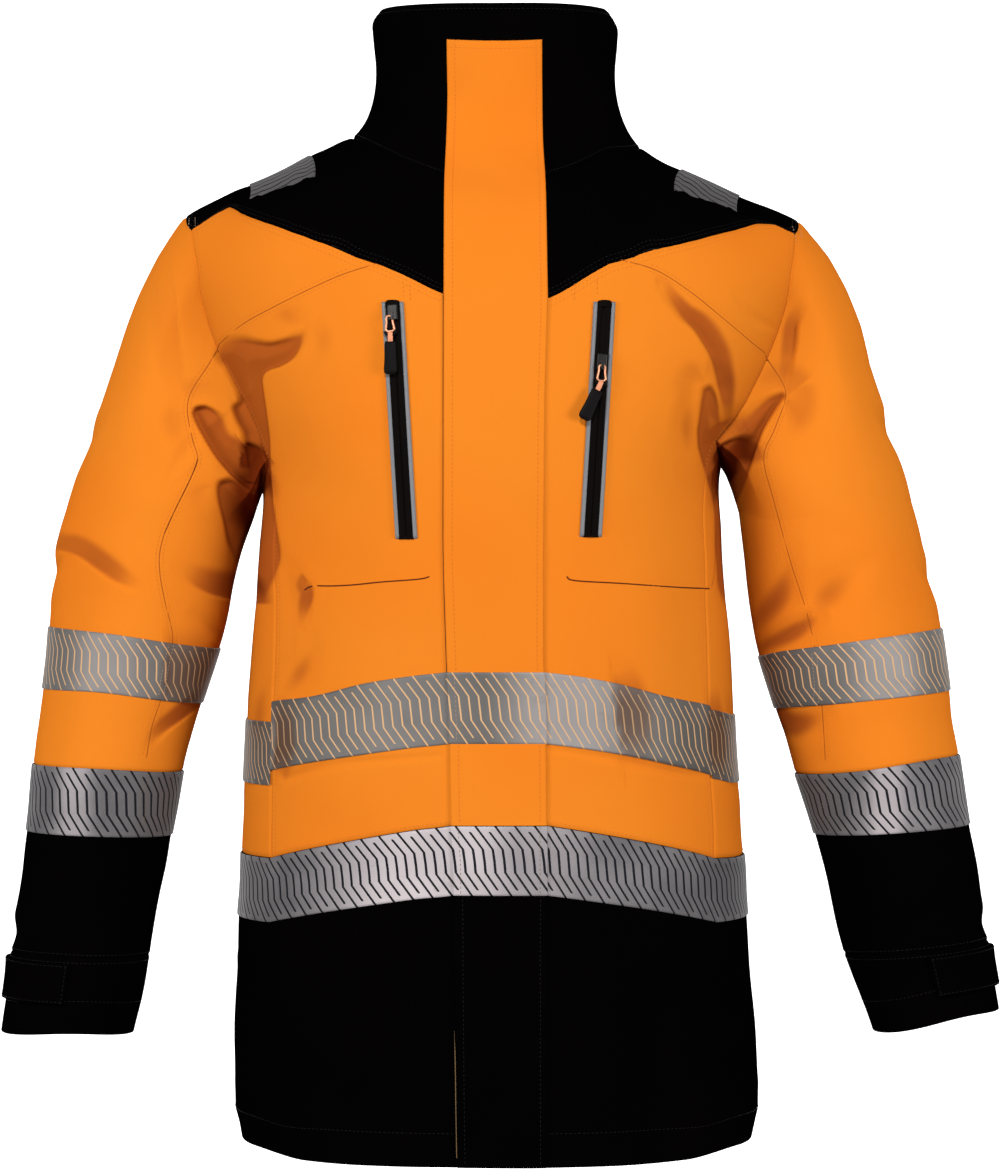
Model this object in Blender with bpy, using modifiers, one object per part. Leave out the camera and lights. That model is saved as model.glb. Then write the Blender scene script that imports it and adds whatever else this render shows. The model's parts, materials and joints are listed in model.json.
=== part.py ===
"""Hi-vis work jacket: a hollow, worn shape in orange and black cloth with reflective tapes.

Metres, +Z up, the front faces -Y and the wearer's left is +X. The origin is the middle of the neck.
Each cloth piece is a thin wall on one garment surface. Tapes, placket and zips lie on the panels'
own points, moved out.
"""
import math

import bpy
from mathutils import Matrix, Vector

# ---------------------------------------------------------------- driving dimensions (metres)
WALL = 0.0020               # thickness of the cloth with its padding
TAPE_WALL = 0.0010          # reflective tape
SEAM = 0.0003               # gap between two sewn pieces
LIFT = 0.0004               # gap under what lies on a panel
TAB_LIFT = 0.0008           # gap under a cuff's tab
PLACKET_HALF = 0.0385       # half width of the flap over the front zip
NECK_HALF = 0.1120          # half width of the neck seam at the shoulders
NECK_FRONT = 0.1060         # from the middle to the neck seam at the centre front
NECK_BACK = 0.0820          # and at the centre back
COLLAR_TOP = 0.1075         # height of the collar's rim at the sides
COLLAR_DIP = 0.0050         # how much lower the rim is at the centre front
ACROSS_POWER = 2.4          # squareness of the body's cross-section, along X
DEPTH_POWER = 2.2           # and along Y
ROLL = 0.080                # height over which the shoulders round away
UNDERARM = -0.262           # height of the lowest point of the armhole
SIDE_CORNER = -0.240        # height where the side panel's seams meet the armhole
SIDE_COLUMNS = 6            # spaces across a side panel
ZIP_HALF = 0.0047           # half width of a chest zip's dark strip
PIPING_NEAR = 0.0050        # the reflective piping beside it, from here
PIPING_FAR = 0.0083         # to here
ZIP_LENGTH_ROWS = 7

# Height of the shoulder line over the body, by distance from the centre.
SHOULDER_LINE = (  # across, height
    (0.0000, 0.0160), (0.0600, 0.0150), (0.1120, 0.0085), (0.1340, -0.0040), (0.1744, -0.0234),
    (0.2087, -0.0390), (0.2364, -0.0546), (0.2600, -0.0740),
)
# Cross-sections of the body: half width and the depth in front of and behind the middle.
BODY_SECTIONS = (  # height, half_width, front, back
    (0.030, 0.262, 0.092, 0.086),
    (-0.050, 0.256, 0.116, 0.116),
    (-0.100, 0.243, 0.129, 0.132),
    (-0.158, 0.224, 0.139, 0.141),
    (-0.200, 0.205, 0.144, 0.143),
    (-0.235, 0.187, 0.146, 0.142),
    (-0.270, 0.1795, 0.146, 0.138),
    (-0.330, 0.1825, 0.144, 0.131),
    (-0.430, 0.1885, 0.141, 0.127),
    (-0.545, 0.1945, 0.143, 0.130),
    (-0.663, 0.2005, 0.146, 0.135),
    (-0.780, 0.2050, 0.148, 0.139),
)
# Edge of the front panel along the armhole, and the same on the back.
ARMHOLE_FRONT = (  # height, across
    (-0.0668, 0.2305), (-0.0950, 0.2262), (-0.1234, 0.2230), (-0.1575, 0.2125), (-0.1990, 0.1930),
    (-0.2200, 0.1830), (-0.2400, 0.1745),
)
ARMHOLE_BACK = (  # height, across
    (-0.0850, 0.2300), (-0.1150, 0.2285), (-0.1500, 0.2230), (-0.1850, 0.2100), (-0.2150, 0.1930),
    (-0.2400, 0.1745),
)
# Angle of the side panel's seams from the side of the body.
SIDE_SEAM_ANGLE = (  # height, degrees
    (-0.240, 22.0), (-0.300, 26.0), (-0.450, 32.0), (-0.560, 33.0),
)
# Columns of the yoke and collar over half the body, from the centre front over the shoulder to the
# centre back: angle on the neck seam, then the point on the yoke's outer edge.
YOKE_FRONT = (  # neck_angle, outer_across, outer_height
    (90.0, 0.0000, -0.1220),
    (80.3, 0.0193, -0.1220),
    (70.1, 0.0385, -0.1220),
    (60.0, 0.0680, -0.1080),
    (48.0, 0.0990, -0.0936),
    (37.0, 0.1280, -0.0780),
    (27.0, 0.1550, -0.0660),
    (18.0, 0.1790, -0.0585),
    (10.0, 0.2015, -0.0540),
    (5.0, 0.2305, -0.0668),
)
YOKE_TIP_ACROSS = 0.2364    # end of the shoulder line
YOKE_BACK = (  # neck_angle, outer_across, outer_height
    (6.0, 0.2350, -0.0640),
    (12.0, 0.2300, -0.0850),
    (24.0, 0.1960, -0.0880),
    (36.0, 0.1560, -0.0920),
    (49.0, 0.1150, -0.0960),
    (62.0, 0.0740, -0.0985),
    (76.0, 0.0360, -0.1000),
    (90.0, 0.0000, -0.1000),
)
YOKE_ROWS = (0.0, 0.24, 0.45, 0.65, 0.83, 1.0)  # share of the way from the neck to the outer edge
# The collar narrows from the neck seam and rolls in at its rim.
COLLAR_ROWS = (  # share_of_height, share_of_width
    (0.00, 1.000), (0.15, 0.910), (0.34, 0.855), (0.55, 0.832), (0.79, 0.848), (0.91, 0.852),
    (1.00, 0.800),
)
PLACKET_TOP_ROW = 4         # the collar row that the placket reaches
# Rows of the front from the yoke's edge to the hip seam, at the placket and at the outer edge.
FRONT_ROWS = (  # name, height_centre, height_edge
    ("yoke_seam", -0.1220, -0.0668),
    ("chest_1", -0.1480, -0.0950),
    ("chest_2", -0.1750, -0.1234),
    ("chest_3", -0.2050, -0.1575),
    ("chest_4", -0.2350, -0.1990),
    ("chest_5", -0.2580, -0.2200),
    ("side_corner", -0.2800, -0.2400),
    ("body_1", -0.3200, -0.2900),
    ("body_2", -0.3620, -0.3520),
    ("waist_tape_top", -0.4040, -0.4265),
    ("waist_tape_foot", -0.4575, -0.4800),
    ("body_3", -0.4880, -0.5130),
    ("hip_seam", -0.5180, -0.5460),
)
BACK_ROWS = (  # name, height_centre, height_edge
    ("yoke_seam", -0.1000, -0.0850),
    ("blade_1", -0.1350, -0.1150),
    ("blade_2", -0.1700, -0.1500),
    ("blade_3", -0.2050, -0.1850),
    ("blade_4", -0.2350, -0.2150),
    ("side_corner", -0.2650, -0.2400),
    ("body_1", -0.3050, -0.2900),
    ("body_2", -0.3580, -0.3520),
    ("waist_tape_top", -0.4220, -0.4265),
    ("waist_tape_foot", -0.4750, -0.4800),
    ("body_3", -0.5090, -0.5130),
    ("hip_seam", -0.5430, -0.5460),
)
SKIRT_ROWS = (  # name, height_centre, height_edge, height_back
    ("hip_seam", -0.5180, -0.5460, -0.5430),
    ("hip_tape_foot", -0.5700, -0.5950, -0.5950),
    ("skirt_1", -0.6350, -0.6500, -0.6500),
    ("skirt_2", -0.7000, -0.7080, -0.7080),
    ("hem", -0.7660, -0.7660, -0.7660),
)
SIDE_TAPE_DROP = 0.30       # how far the side panel's tape lies below the front's, in tape widths
# The largest folds of the body, pressed in from the front view (mirrored ones are rows of their own).
FRONT_FOLDS = (  # from_across, from_height, to_across, to_height, half_width, depth
    (-0.214, -0.150, -0.150, -0.150, 0.017, 0.009),
    (-0.150, -0.160, -0.196, -0.215, 0.016, 0.008),
    (0.122, -0.128, 0.160, -0.195, 0.014, 0.008),
    (0.160, -0.195, 0.178, -0.262, 0.017, 0.010),
    (-0.150, -0.300, -0.172, -0.400, 0.014, 0.005),
    (0.152, -0.290, 0.170, -0.390, 0.014, 0.005),
)
BACK_FOLDS = (  # from_across, from_height, to_across, to_height, half_width, depth
    (-0.200, -0.150, -0.130, -0.210, 0.018, 0.007),
    (0.200, -0.150, 0.135, -0.200, 0.018, 0.007),
    (-0.110, -0.330, 0.060, -0.350, 0.018, 0.005),
    (0.150, -0.300, 0.080, -0.390, 0.018, 0.004),
)
# Sleeve stations below the cap: where the ring's outer and inner sides are, its depth, where its
# middle lies in Y, and by how much its outer side is the higher.
SLEEVE_RIGHT = (  # name, height, outer, inner, depth, middle_y, tilt_degrees
    ("cap_end", -0.2850, 0.3345, 0.1905, 0.150, 0.002, 8.0),
    ("arm_1", -0.3080, 0.3410, 0.1975, 0.150, 0.001, 8.0),
    ("arm_2", -0.3300, 0.3450, 0.2035, 0.149, 0.000, 8.0),
    ("arm_3", -0.3550, 0.3465, 0.2085, 0.146, -0.002, 8.0),
    ("tape_1_top", -0.3800, 0.3490, 0.2150, 0.143, -0.005, 7.0),
    ("tape_1_foot", -0.4255, 0.3540, 0.2290, 0.137, -0.009, 5.0),
    ("arm_4", -0.4520, 0.3570, 0.2365, 0.133, -0.011, 4.0),
    ("tape_2_top", -0.4805, 0.3605, 0.2435, 0.130, -0.014, 3.0),
    ("tape_2_foot", -0.5305, 0.3660, 0.2525, 0.124, -0.018, 2.0),
    ("arm_5", -0.5800, 0.3720, 0.2607, 0.117, -0.022, 2.0),
    ("cuff_seam", -0.6230, 0.3780, 0.2680, 0.110, -0.025, 2.0),
    ("cuff_middle", -0.6520, 0.3815, 0.2727, 0.106, -0.028, 2.0),
    ("cuff_end", -0.6845, 0.3850, 0.2785, 0.102, -0.030, 1.5),
)
SLEEVE_LEFT = (  # name, height, outer, inner, depth, middle_y, tilt_degrees
    ("cap_end", -0.2850, 0.3285, 0.1890, 0.150, 0.002, 8.0),
    ("arm_1", -0.3080, 0.3345, 0.1930, 0.150, 0.001, 8.0),
    ("arm_2", -0.3300, 0.3390, 0.1960, 0.149, 0.000, 8.0),
    ("arm_3", -0.3550, 0.3440, 0.2000, 0.146, -0.002, 8.0),
    ("tape_1_top", -0.3820, 0.3490, 0.2050, 0.143, -0.005, 7.7),
    ("tape_1_foot", -0.4275, 0.3545, 0.2165, 0.137, -0.009, 5.5),
    ("arm_4", -0.4520, 0.3570, 0.2245, 0.133, -0.011, 5.0),
    ("tape_2_top", -0.4805, 0.3625, 0.2325, 0.130, -0.014, 4.2),
    ("tape_2_foot", -0.5280, 0.3710, 0.2470, 0.124, -0.018, 3.7),
    ("arm_5", -0.5800, 0.3790, 0.2605, 0.117, -0.022, 4.5),
    ("cuff_seam", -0.6180, 0.3850, 0.2715, 0.111, -0.025, 5.5),
    ("cuff_middle", -0.6470, 0.3890, 0.2810, 0.107, -0.028, 6.5),
    ("cuff_end", -0.6760, 0.3925, 0.2915, 0.102, -0.030, 7.5),
)
CAP_RINGS = (0.0, 0.12, 0.28, 0.46, 0.64, 0.82, 1.0)  # rings of the sleeve's cap, as shares of it
CAP_START = Vector((0.76, 0.0, -0.65))   # the way the sleeve leaves the shoulder's end
CAP_UNDER = Vector((0.30, 0.0, -0.95))   # and the underarm
CAP_END = Vector((0.33, 0.0, -0.944))    # and its way where the cap ends
# Largest folds of a sleeve: angle round it from the outside over the front, and share along it.
SLEEVE_FOLDS = (  # from_angle, from_along, to_angle, to_along, half_width, depth
    (95.0, 0.34, 165.0, 0.62, 0.013, 0.008),
    (60.0, 0.50, 150.0, 0.78, 0.013, 0.007),
    (200.0, 0.40, 260.0, 0.66, 0.014, 0.007),
    (30.0, 0.86, 100.0, 0.97, 0.012, 0.005),
)
CUFF_TAB_REACH = (0, 6)     # sleeve columns that the cuff's tab lies on
# Shoulder tapes: a band that runs over the shoulder line from front to back.
SHOULDER_TAPE_NEAR = 0.142
SHOULDER_TAPE_FAR = 0.192
SHOULDER_TAPE_FRONT = 0.62  # how far it turns down the front, as an angle in radians
SHOULDER_TAPE_BACK = 0.80
SHOULDER_TAPE_LIFT = 0.0009
# Chest zips, by the wearer's side.
ZIPS = (  # name, top_across, top_height, foot_across, foot_height, slider_share, pull_lean_degrees
    ("right", -0.0765, -0.1300, -0.0661, -0.3036, 0.055, 3.0),
    ("left", 0.0814, -0.1300, 0.0710, -0.3021, 0.270, 22.0),
)
ORANGE = (0.93, 0.26, 0.02)
BLACK = (0.006, 0.006, 0.008)
SILVER = (0.36, 0.34, 0.33)
COPPER = (0.75, 0.36, 0.22)


# ---------------------------------------------------------------- small helpers
def read(rows, at, column):
    """A smooth value from a table whose first column is the place."""
    rows = sorted(rows)
    places = [row[0] for row in rows]
    values = [row[column] for row in rows]
    if at <= places[0]:
        return values[0]
    if at >= places[-1]:
        return values[-1]
    low = max(i for i, place in enumerate(places) if place <= at)
    slopes = []
    for i in (low, low + 1):
        before, after = max(i - 1, 0), min(i + 1, len(rows) - 1)
        slopes.append((values[after] - values[before]) / (places[after] - places[before]))
    span = places[low + 1] - places[low]
    t = (at - places[low]) / span
    return (values[low] * (2 * t**3 - 3 * t**2 + 1) + slopes[0] * span * (t**3 - 2 * t**2 + t)
            + values[low + 1] * (3 * t**2 - 2 * t**3) + slopes[1] * span * (t**3 - t**2))


def mix(a, b, share):
    return a + (b - a) * share


def fold_depth(folds, across, height):
    """How far the folds press the cloth in at a place of the front or back view."""
    total = 0.0
    for ax, az, bx, bz, half_width, depth in folds:
        along = Vector((bx - ax, bz - az))
        here = Vector((across - ax, height - az))
        share = min(max(here.dot(along) / along.length_squared, 0.0), 1.0)
        away = (here - along * share).length / half_width
        swell = 0.35 + 0.65 * math.sin(math.pi * min(max(share, 0.0), 1.0))
        total += depth * swell * math.exp(-away * away)
    return total


# ---------------------------------------------------------------- the body's surface
def body_depth(side, across, height):
    """Distance in Y from the middle to the cloth, in front (side -1) or behind (side 1)."""
    half_width = read(BODY_SECTIONS, height, 1)
    depth = read(BODY_SECTIONS, height, 2 if side < 0 else 3)
    ratio = min(abs(across) / half_width, 1.0)
    full = depth * (1 - ratio**ACROSS_POWER) ** (1 / DEPTH_POWER)
    return full - fold_depth(FRONT_FOLDS if side < 0 else BACK_FOLDS, across, height)


def over_shoulder(side, across, turn):
    """A point by how far it has turned down from the shoulder line, in radians."""
    top = read(SHOULDER_LINE, abs(across), 1)
    if turn <= math.pi / 2:
        height = top - ROLL * (1 - math.cos(turn))
    else:
        height = top - ROLL * (1 + turn - math.pi / 2)
    reach = math.sin(min(turn, math.pi / 2))
    return Vector((across, side * body_depth(side, across, height) * reach, height))


def turn_at(across, height):
    """How far the surface has turned down from the shoulder line at a height."""
    fallen = (read(SHOULDER_LINE, abs(across), 1) - height) / ROLL
    return math.acos(1 - fallen) if fallen <= 1 else math.pi / 2 + fallen - 1


def across_at(angle, height):
    """X at an angle from the side of the body."""
    ratio = abs(math.cos(angle)) ** (2 / ACROSS_POWER)
    return read(BODY_SECTIONS, height, 1) * math.copysign(ratio, math.cos(angle))


def angle_at(across, height):
    ratio = min(abs(across) / read(BODY_SECTIONS, height, 1), 1.0)
    return math.acos(ratio ** (ACROSS_POWER / 2))


def round_body(angle, height):
    """A point of the body by the angle from its +X side: over 0 in front, under 0 behind."""
    side = -1 if angle > 0 else 1
    across = across_at(abs(angle), height)
    if height > SIDE_CORNER - 0.02:
        return over_shoulder(side, across, turn_at(across, height))
    return Vector((across, side * body_depth(side, across, height), height))


def spot(surface, u, v):
    """A point of a surface and its outward normal."""
    step = 1e-4
    point = surface(u, v)
    along_u = surface(u + step, v) - surface(u - step, v)
    along_v = surface(u, v + step) - surface(u, v - step)
    normal = along_u.cross(along_v).normalized()
    middle = Vector((0.0, 0.0, point.z - 0.12))
    if normal.dot(point - middle) < 0:
        normal = -normal
    return point, normal


def body_spot(angle, height):
    return spot(round_body, angle, height)


def shoulder_spot(side, across, turn):
    return spot(lambda x, w: over_shoulder(side, x, abs(w)) if w >= 0 else
                over_shoulder(-side, x, -w), across, turn)


def mirrored(spots):
    return [(Vector((-p.x, p.y, p.z)), Vector((-n.x, n.y, n.z))) for p, n in spots]


# ---------------------------------------------------------------- grids of the body's panels
def seam_angle(height):
    return math.radians(read(SIDE_SEAM_ANGLE, height, 1))


def edge_across(armhole, height):
    """X of the panel's outer edge: the armhole above the side panel's corner, its seam below."""
    if height > SIDE_CORNER + 1e-6:
        return read(armhole, height, 1)
    return across_at(seam_angle(height), height)


def front_grid():
    """Rows down the front, each from the centre line to the side seam."""
    columns = [(row[1], row[2]) for row in YOKE_FRONT]
    grid = []
    for name, height_centre, height_edge in FRONT_ROWS:
        if name == "yoke_seam":
            row = [shoulder_spot(-1, x, turn_at(x, z)) for x, z in columns]
            grid.append(row)
            continue
        row = [body_spot(angle_at(x, height_centre), height_centre)
               for x in (1e-5, PLACKET_HALF / 2, PLACKET_HALF)]
        for k in range(1, len(columns) - 2):
            share = k / (len(columns) - 3)
            height = mix(height_centre, height_edge, share)
            near = angle_at(PLACKET_HALF, height)
            far = angle_at(edge_across(ARMHOLE_FRONT, height_edge), height_edge)
            row.append(body_spot(mix(near, far, share), height))
        grid.append(row)
    return grid


def back_grid():
    """Rows down the back, each from the centre to the side seam."""
    columns = [(row[1], row[2]) for row in reversed(YOKE_BACK[1:])]
    grid = []
    for name, height_centre, height_edge in BACK_ROWS:
        if name == "yoke_seam":
            grid.append([shoulder_spot(1, x, turn_at(x, z)) for x, z in columns])
            continue
        row = []
        for k in range(len(columns)):
            share = k / (len(columns) - 1)
            height = mix(height_centre, height_edge, share)
            far = angle_at(edge_across(ARMHOLE_BACK, height_edge), height_edge)
            row.append(body_spot(-mix(math.pi / 2 - 1e-4, far, share), height))
        grid.append(row)
    return grid


def side_grid():
    """Rows down the side panel, each from the front seam to the back seam."""
    grid = []
    for name, _, height_edge in FRONT_ROWS[6:]:
        row = []
        for k in range(SIDE_COLUMNS + 1):
            place = 1 - 2 * k / SIDE_COLUMNS
            height = height_edge
            if name == "side_corner":
                height = mix(UNDERARM, SIDE_CORNER, place * place)
            row.append(body_spot(seam_angle(height_edge) * place, height))
        grid.append(row)
    return grid


def skirt_grids():
    """Half of the front skirt and half of the back skirt, with the columns of the panels above."""
    half_side = SIDE_COLUMNS // 2
    front, back = [], []
    fronts = len(YOKE_FRONT) - 3
    backs = len(YOKE_BACK) - 2
    for _, height_centre, height_edge, height_back in SKIRT_ROWS:
        seam = seam_angle(height_edge)
        row = [body_spot(angle_at(x, height_centre), height_centre)
               for x in (1e-5, PLACKET_HALF / 2, PLACKET_HALF)]
        for k in range(1, fronts + 1):
            height = mix(height_centre, height_edge, k / fronts)
            row.append(body_spot(mix(angle_at(PLACKET_HALF, height), seam, k / fronts), height))
        for k in range(1, half_side + 1):
            row.append(body_spot(seam * (1 - k / half_side), height_edge))
        front.append(row)
        row = [body_spot(-mix(math.pi / 2 - 1e-4, seam, k / backs),
                         mix(height_back, height_edge, k / backs)) for k in range(backs + 1)]
        for k in range(1, half_side + 1):
            row.append(body_spot(-seam * (1 - k / half_side), height_edge))
        back.append(row)
    return front, back


def neck_turn(side, across, out):
    """How far a point of the neck seam, this far from the middle in Y, has turned down."""
    low, high = 0.0, math.pi / 2
    for _ in range(20):
        turn = (low + high) / 2
        if abs(over_shoulder(side, across, turn).y) < out:
            low = turn
        else:
            high = turn
    return turn


def neck_point(side, angle):
    """X and the turn of a point of the neck seam, which is an ellipse from above."""
    across = NECK_HALF * math.cos(angle)
    out = (NECK_FRONT if side < 0 else NECK_BACK) * math.sin(angle)
    return across, neck_turn(side, across, out)


def half_columns():
    """(side, neck angle, outer X, outer height) from the centre front to the centre back."""
    columns = [(-1, math.radians(a), x, z) for a, x, z in YOKE_FRONT]
    columns.append((-1, 0.0, YOKE_TIP_ACROSS, read(SHOULDER_LINE, YOKE_TIP_ACROSS, 1)))
    columns += [(1, math.radians(a), x, z) for a, x, z in YOKE_BACK]
    return columns


def yoke_half():
    """Rows of half the yoke from the neck seam to its outer edge."""
    rows = []
    for share in YOKE_ROWS:
        row = []
        for side, angle, outer_x, outer_z in half_columns():
            near_x, near_turn = neck_point(side, angle)
            if side < 0 and outer_x <= PLACKET_HALF:
                near_x = outer_x
                near_turn = neck_turn(side, near_x, NECK_FRONT * (1 - (near_x / NECK_HALF)**2)**0.5)
            across = mix(near_x, outer_x, share)
            turn = mix(near_turn, turn_at(outer_x, outer_z), share)
            row.append(shoulder_spot(side, max(across, 1e-5), turn))
        rows.append(row)
    return rows


def collar_half():
    """Rows of half the collar from the neck seam to the rim."""
    seam_row = yoke_half()[0]
    columns = half_columns()
    points = []
    for height_share, width_share in COLLAR_ROWS:
        row = []
        for (point, _), (side, angle, _, _) in zip(seam_row, columns):
            top = COLLAR_TOP - COLLAR_DIP * math.sin(angle) * (1.0 if side < 0 else 0.0)
            pull = 1 - (1 - width_share) * abs(point.x) / NECK_HALF
            row.append(Vector((point.x * pull, point.y * width_share**1.3,
                               mix(point.z, top, height_share))))
        points.append(row)
    return with_normals(points, [Vector((0.0, 0.0, 0.03))] * len(points))


def with_normals(points, middles, round_tube=False):
    """Spots of a grid of points, with normals from their neighbours, away from each row's middle."""
    grid = []
    rows, columns = len(points), len(points[0])
    for j in range(rows):
        row = []
        for k in range(columns):
            if round_tube:
                left, right = points[j][k - 1], points[j][(k + 1) % columns]
            else:
                left, right = points[j][max(k - 1, 0)], points[j][min(k + 1, columns - 1)]
                if k == 0:
                    left = Vector((-right.x, right.y, right.z))
                if k == columns - 1:
                    right = Vector((-left.x, left.y, left.z))
            up, down = points[max(j - 1, 0)][k], points[min(j + 1, rows - 1)][k]
            row.append((points[j][k], (right - left).cross(up - down).normalized()))
        if sum(n.dot(p - middles[j]) for p, n in row) < 0:
            row = [(p, -n) for p, n in row]
        grid.append(row)
    return grid


def whole_loop(half):
    """Both halves of a grid: from the centre front over the -X side and the back to the +X side."""
    return [mirrored(row) + list(reversed(row[:-1])) for row in half]


def inset(grid, top=0.0, foot=0.0, start=0.0, end=0.0):
    """Draws a grid's edges in by these distances."""
    grid = [list(row) for row in grid]

    def draw(spot_here, spot_next, distance):
        way = spot_next[0] - spot_here[0]
        return spot_here[0] + way.normalized() * distance, spot_here[1]

    if top:
        grid[0] = [draw(a, b, top) for a, b in zip(grid[0], grid[1])]
    if foot:
        grid[-1] = [draw(a, b, foot) for a, b in zip(grid[-1], grid[-2])]
    for row in grid:
        if start:
            row[0] = draw(row[0], row[1], start)
        if end:
            row[-1] = draw(row[-1], row[-2], end)
    return grid


def between_rows(grid, place):
    """A row at a fractional place of a grid."""
    low = min(int(place), len(grid) - 2)
    share = place - low
    return [(a[0].lerp(b[0], share), a[1].lerp(b[1], share).normalized())
            for a, b in zip(grid[low], grid[low + 1])]


# ---------------------------------------------------------------- solids
def finish_of(name, colour, roughness, metallic=0.0):
    material = bpy.data.materials.get(name)
    if material is None:
        material = bpy.data.materials.new(name)
        material.use_nodes = True
        shader = material.node_tree.nodes["Principled BSDF"]
        shader.inputs["Base Color"].default_value = (*colour, 1.0)
        shader.inputs["Roughness"].default_value = roughness
        shader.inputs["Metallic"].default_value = metallic
    return material


def add_mesh(collection, name, points, faces, material):
    mesh = bpy.data.meshes.new(name)
    mesh.from_pydata([tuple(p) for p in points], [], faces)
    mesh.materials.append(material)
    mesh.shade_smooth()
    mesh.set_sharp_from_angle(angle=math.radians(40))
    obj = bpy.data.objects.new(name, mesh)
    collection.objects.link(obj)
    return obj


def cloth(collection, name, grid, material, low=-WALL, high=0.0, round_tube=False):
    """A closed wall between two offsets of a grid, along its normals."""
    rows, columns = len(grid), len(grid[0])
    points = [p + n * high for row in grid for p, n in row]
    points += [p + n * low for row in grid for p, n in row]
    inner = rows * columns
    faces = []
    spaces = columns if round_tube else columns - 1

    def at(j, k, layer=0):
        return layer * inner + j * columns + k % columns

    for j in range(rows - 1):
        for k in range(spaces):
            faces.append((at(j, k), at(j, k + 1), at(j + 1, k + 1), at(j + 1, k)))
            faces.append((at(j, k, 1), at(j + 1, k, 1), at(j + 1, k + 1, 1), at(j, k + 1, 1)))
    for k in range(spaces):
        faces.append((at(0, k + 1), at(0, k), at(0, k, 1), at(0, k + 1, 1)))
        faces.append((at(rows - 1, k), at(rows - 1, k + 1), at(rows - 1, k + 1, 1),
                      at(rows - 1, k, 1)))
    if not round_tube:
        for j in range(rows - 1):
            faces.append((at(j, 0), at(j + 1, 0), at(j + 1, 0, 1), at(j, 0, 1)))
            last = columns - 1
            faces.append((at(j + 1, last), at(j, last), at(j, last, 1), at(j + 1, last, 1)))
    obj = add_mesh(collection, name, points, faces, material)
    turn_outward(obj.data, grid)
    return obj


def turn_outward(mesh, grid):
    """Reverses the faces where the first outer face looks against the grid's normal."""
    if mesh.polygons[0].normal.dot(grid[0][0][1]) < 0:
        mesh.flip_normals()


# ---------------------------------------------------------------- sleeves
def armhole_loop(yoke, front, side, back):
    """The armhole's spots on the +X side: from the shoulder's end down the front and up the back."""
    tip = len(YOKE_FRONT)
    loop = [yoke[-1][tip], yoke[-1][tip - 1]]
    loop += [row[-1] for row in front[1:7]]
    loop += side[0][1:-1]
    loop += [row[-1] for row in reversed(back[:6])]
    loop.append(yoke[-1][tip + 1])
    return loop


def loop_angles(loop):
    """Angle of each spot round the sleeve: 0 outside, 90 in front, 180 inside, 270 behind."""
    under = min(range(len(loop)), key=lambda i: loop[i][0].z)
    points = [s[0] for s in loop] + [loop[0][0]]
    lengths = [(b - a).length for a, b in zip(points, points[1:])]
    front, back = sum(lengths[:under]), sum(lengths[under:])
    angles = []
    for i in range(len(loop)):
        if i <= under:
            angles.append(math.pi * sum(lengths[:i]) / front)
        else:
            angles.append(math.pi * (1 + sum(lengths[under:i]) / back))
    return angles


def station_ring(station, angles):
    _, height, outer, inner, depth, middle_y, tilt = station
    middle = Vector(((outer + inner) / 2, middle_y, height))
    across = Vector((math.cos(math.radians(tilt)), 0.0, math.sin(math.radians(tilt))))
    half = (outer - inner) / 2
    return [middle + across * (half * math.cos(a)) + Vector((0.0, -depth / 2 * math.sin(a), 0.0))
            for a in angles]


def sleeve_rings(stations, loop):
    """All rings of a +X sleeve from the armhole to the cuff's end, as spots."""
    angles = loop_angles(loop)
    first = station_ring(stations[0], angles)
    top = max(s[0].z for s in loop)
    starts = []
    for (point, _), end in zip(loop, first):
        share = (top - point.z) / (top - UNDERARM)
        reach = (end - point).length
        starts.append((CAP_START.lerp(CAP_UNDER, share).normalized(), reach))
    rings = []
    for t in CAP_RINGS:
        ring = []
        for (point, _), end, (way, reach) in zip(loop, first, starts):
            ring.append(point * (2 * t**3 - 3 * t**2 + 1) + way * (reach * 0.5 * (t**3 - 2 * t**2 + t))
                        + end * (3 * t**2 - 2 * t**3) + CAP_END * (reach * 0.95 * (t**3 - t**2)))
        rings.append(ring)
    rings += [station_ring(station, angles) for station in stations[1:]]
    rings = [fold_ring(ring, angles, j / (len(rings) - 1)) for j, ring in enumerate(rings)]
    middles = [sum(ring, Vector()) / len(ring) for ring in rings]
    grid = with_normals(rings, middles, round_tube=True)
    seated = []
    for (point, normal), (_, body_normal), (way, _) in zip(grid[0], loop, starts):
        gap = SEAM + WALL * max(0.0, (normal - body_normal).dot(way))
        seated.append((point + way * gap, normal))
    grid[0] = seated
    return grid


def fold_ring(ring, angles, along):
    """A ring with the sleeve's folds pressed in towards its middle."""
    middle = sum(ring, Vector()) / len(ring)
    folded = []
    for point, angle in zip(ring, angles):
        out = point - middle
        radius = out.length
        press = 0.0
        for from_angle, from_along, to_angle, to_along, half_width, depth in SLEEVE_FOLDS:
            length = 0.62
            a = Vector((math.radians(from_angle) * radius, from_along * length))
            b = Vector((math.radians(to_angle) * radius, to_along * length))
            here = Vector((angle * radius, along * length)) - a
            share = min(max(here.dot(b - a) / (b - a).length_squared, 0.0), 1.0)
            away = (here - (b - a) * share).length / half_width
            press += depth * math.sin(math.pi * mix(0.12, 0.88, share)) * math.exp(-away * away)
        folded.append(point - out.normalized() * press)
    return folded


# ---------------------------------------------------------------- zips
def zip_strip(zip_row, near, far, low, high, across_spaces):
    """A grid down the chest between two distances from the zip's middle line."""
    _, top_x, top_z, foot_x, foot_z, _, _ = zip_row
    grid = []
    for j in range(ZIP_LENGTH_ROWS):
        share = j / (ZIP_LENGTH_ROWS - 1)
        middle, height = mix(top_x, foot_x, share), mix(top_z, foot_z, share)
        row = []
        for k in range(across_spaces + 1):
            across = abs(middle + mix(near, far, k / across_spaces))
            row.append(body_spot(angle_at(across, height), height))
        grid.append(mirrored(row) if top_x < 0 else row)
    return grid


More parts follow.
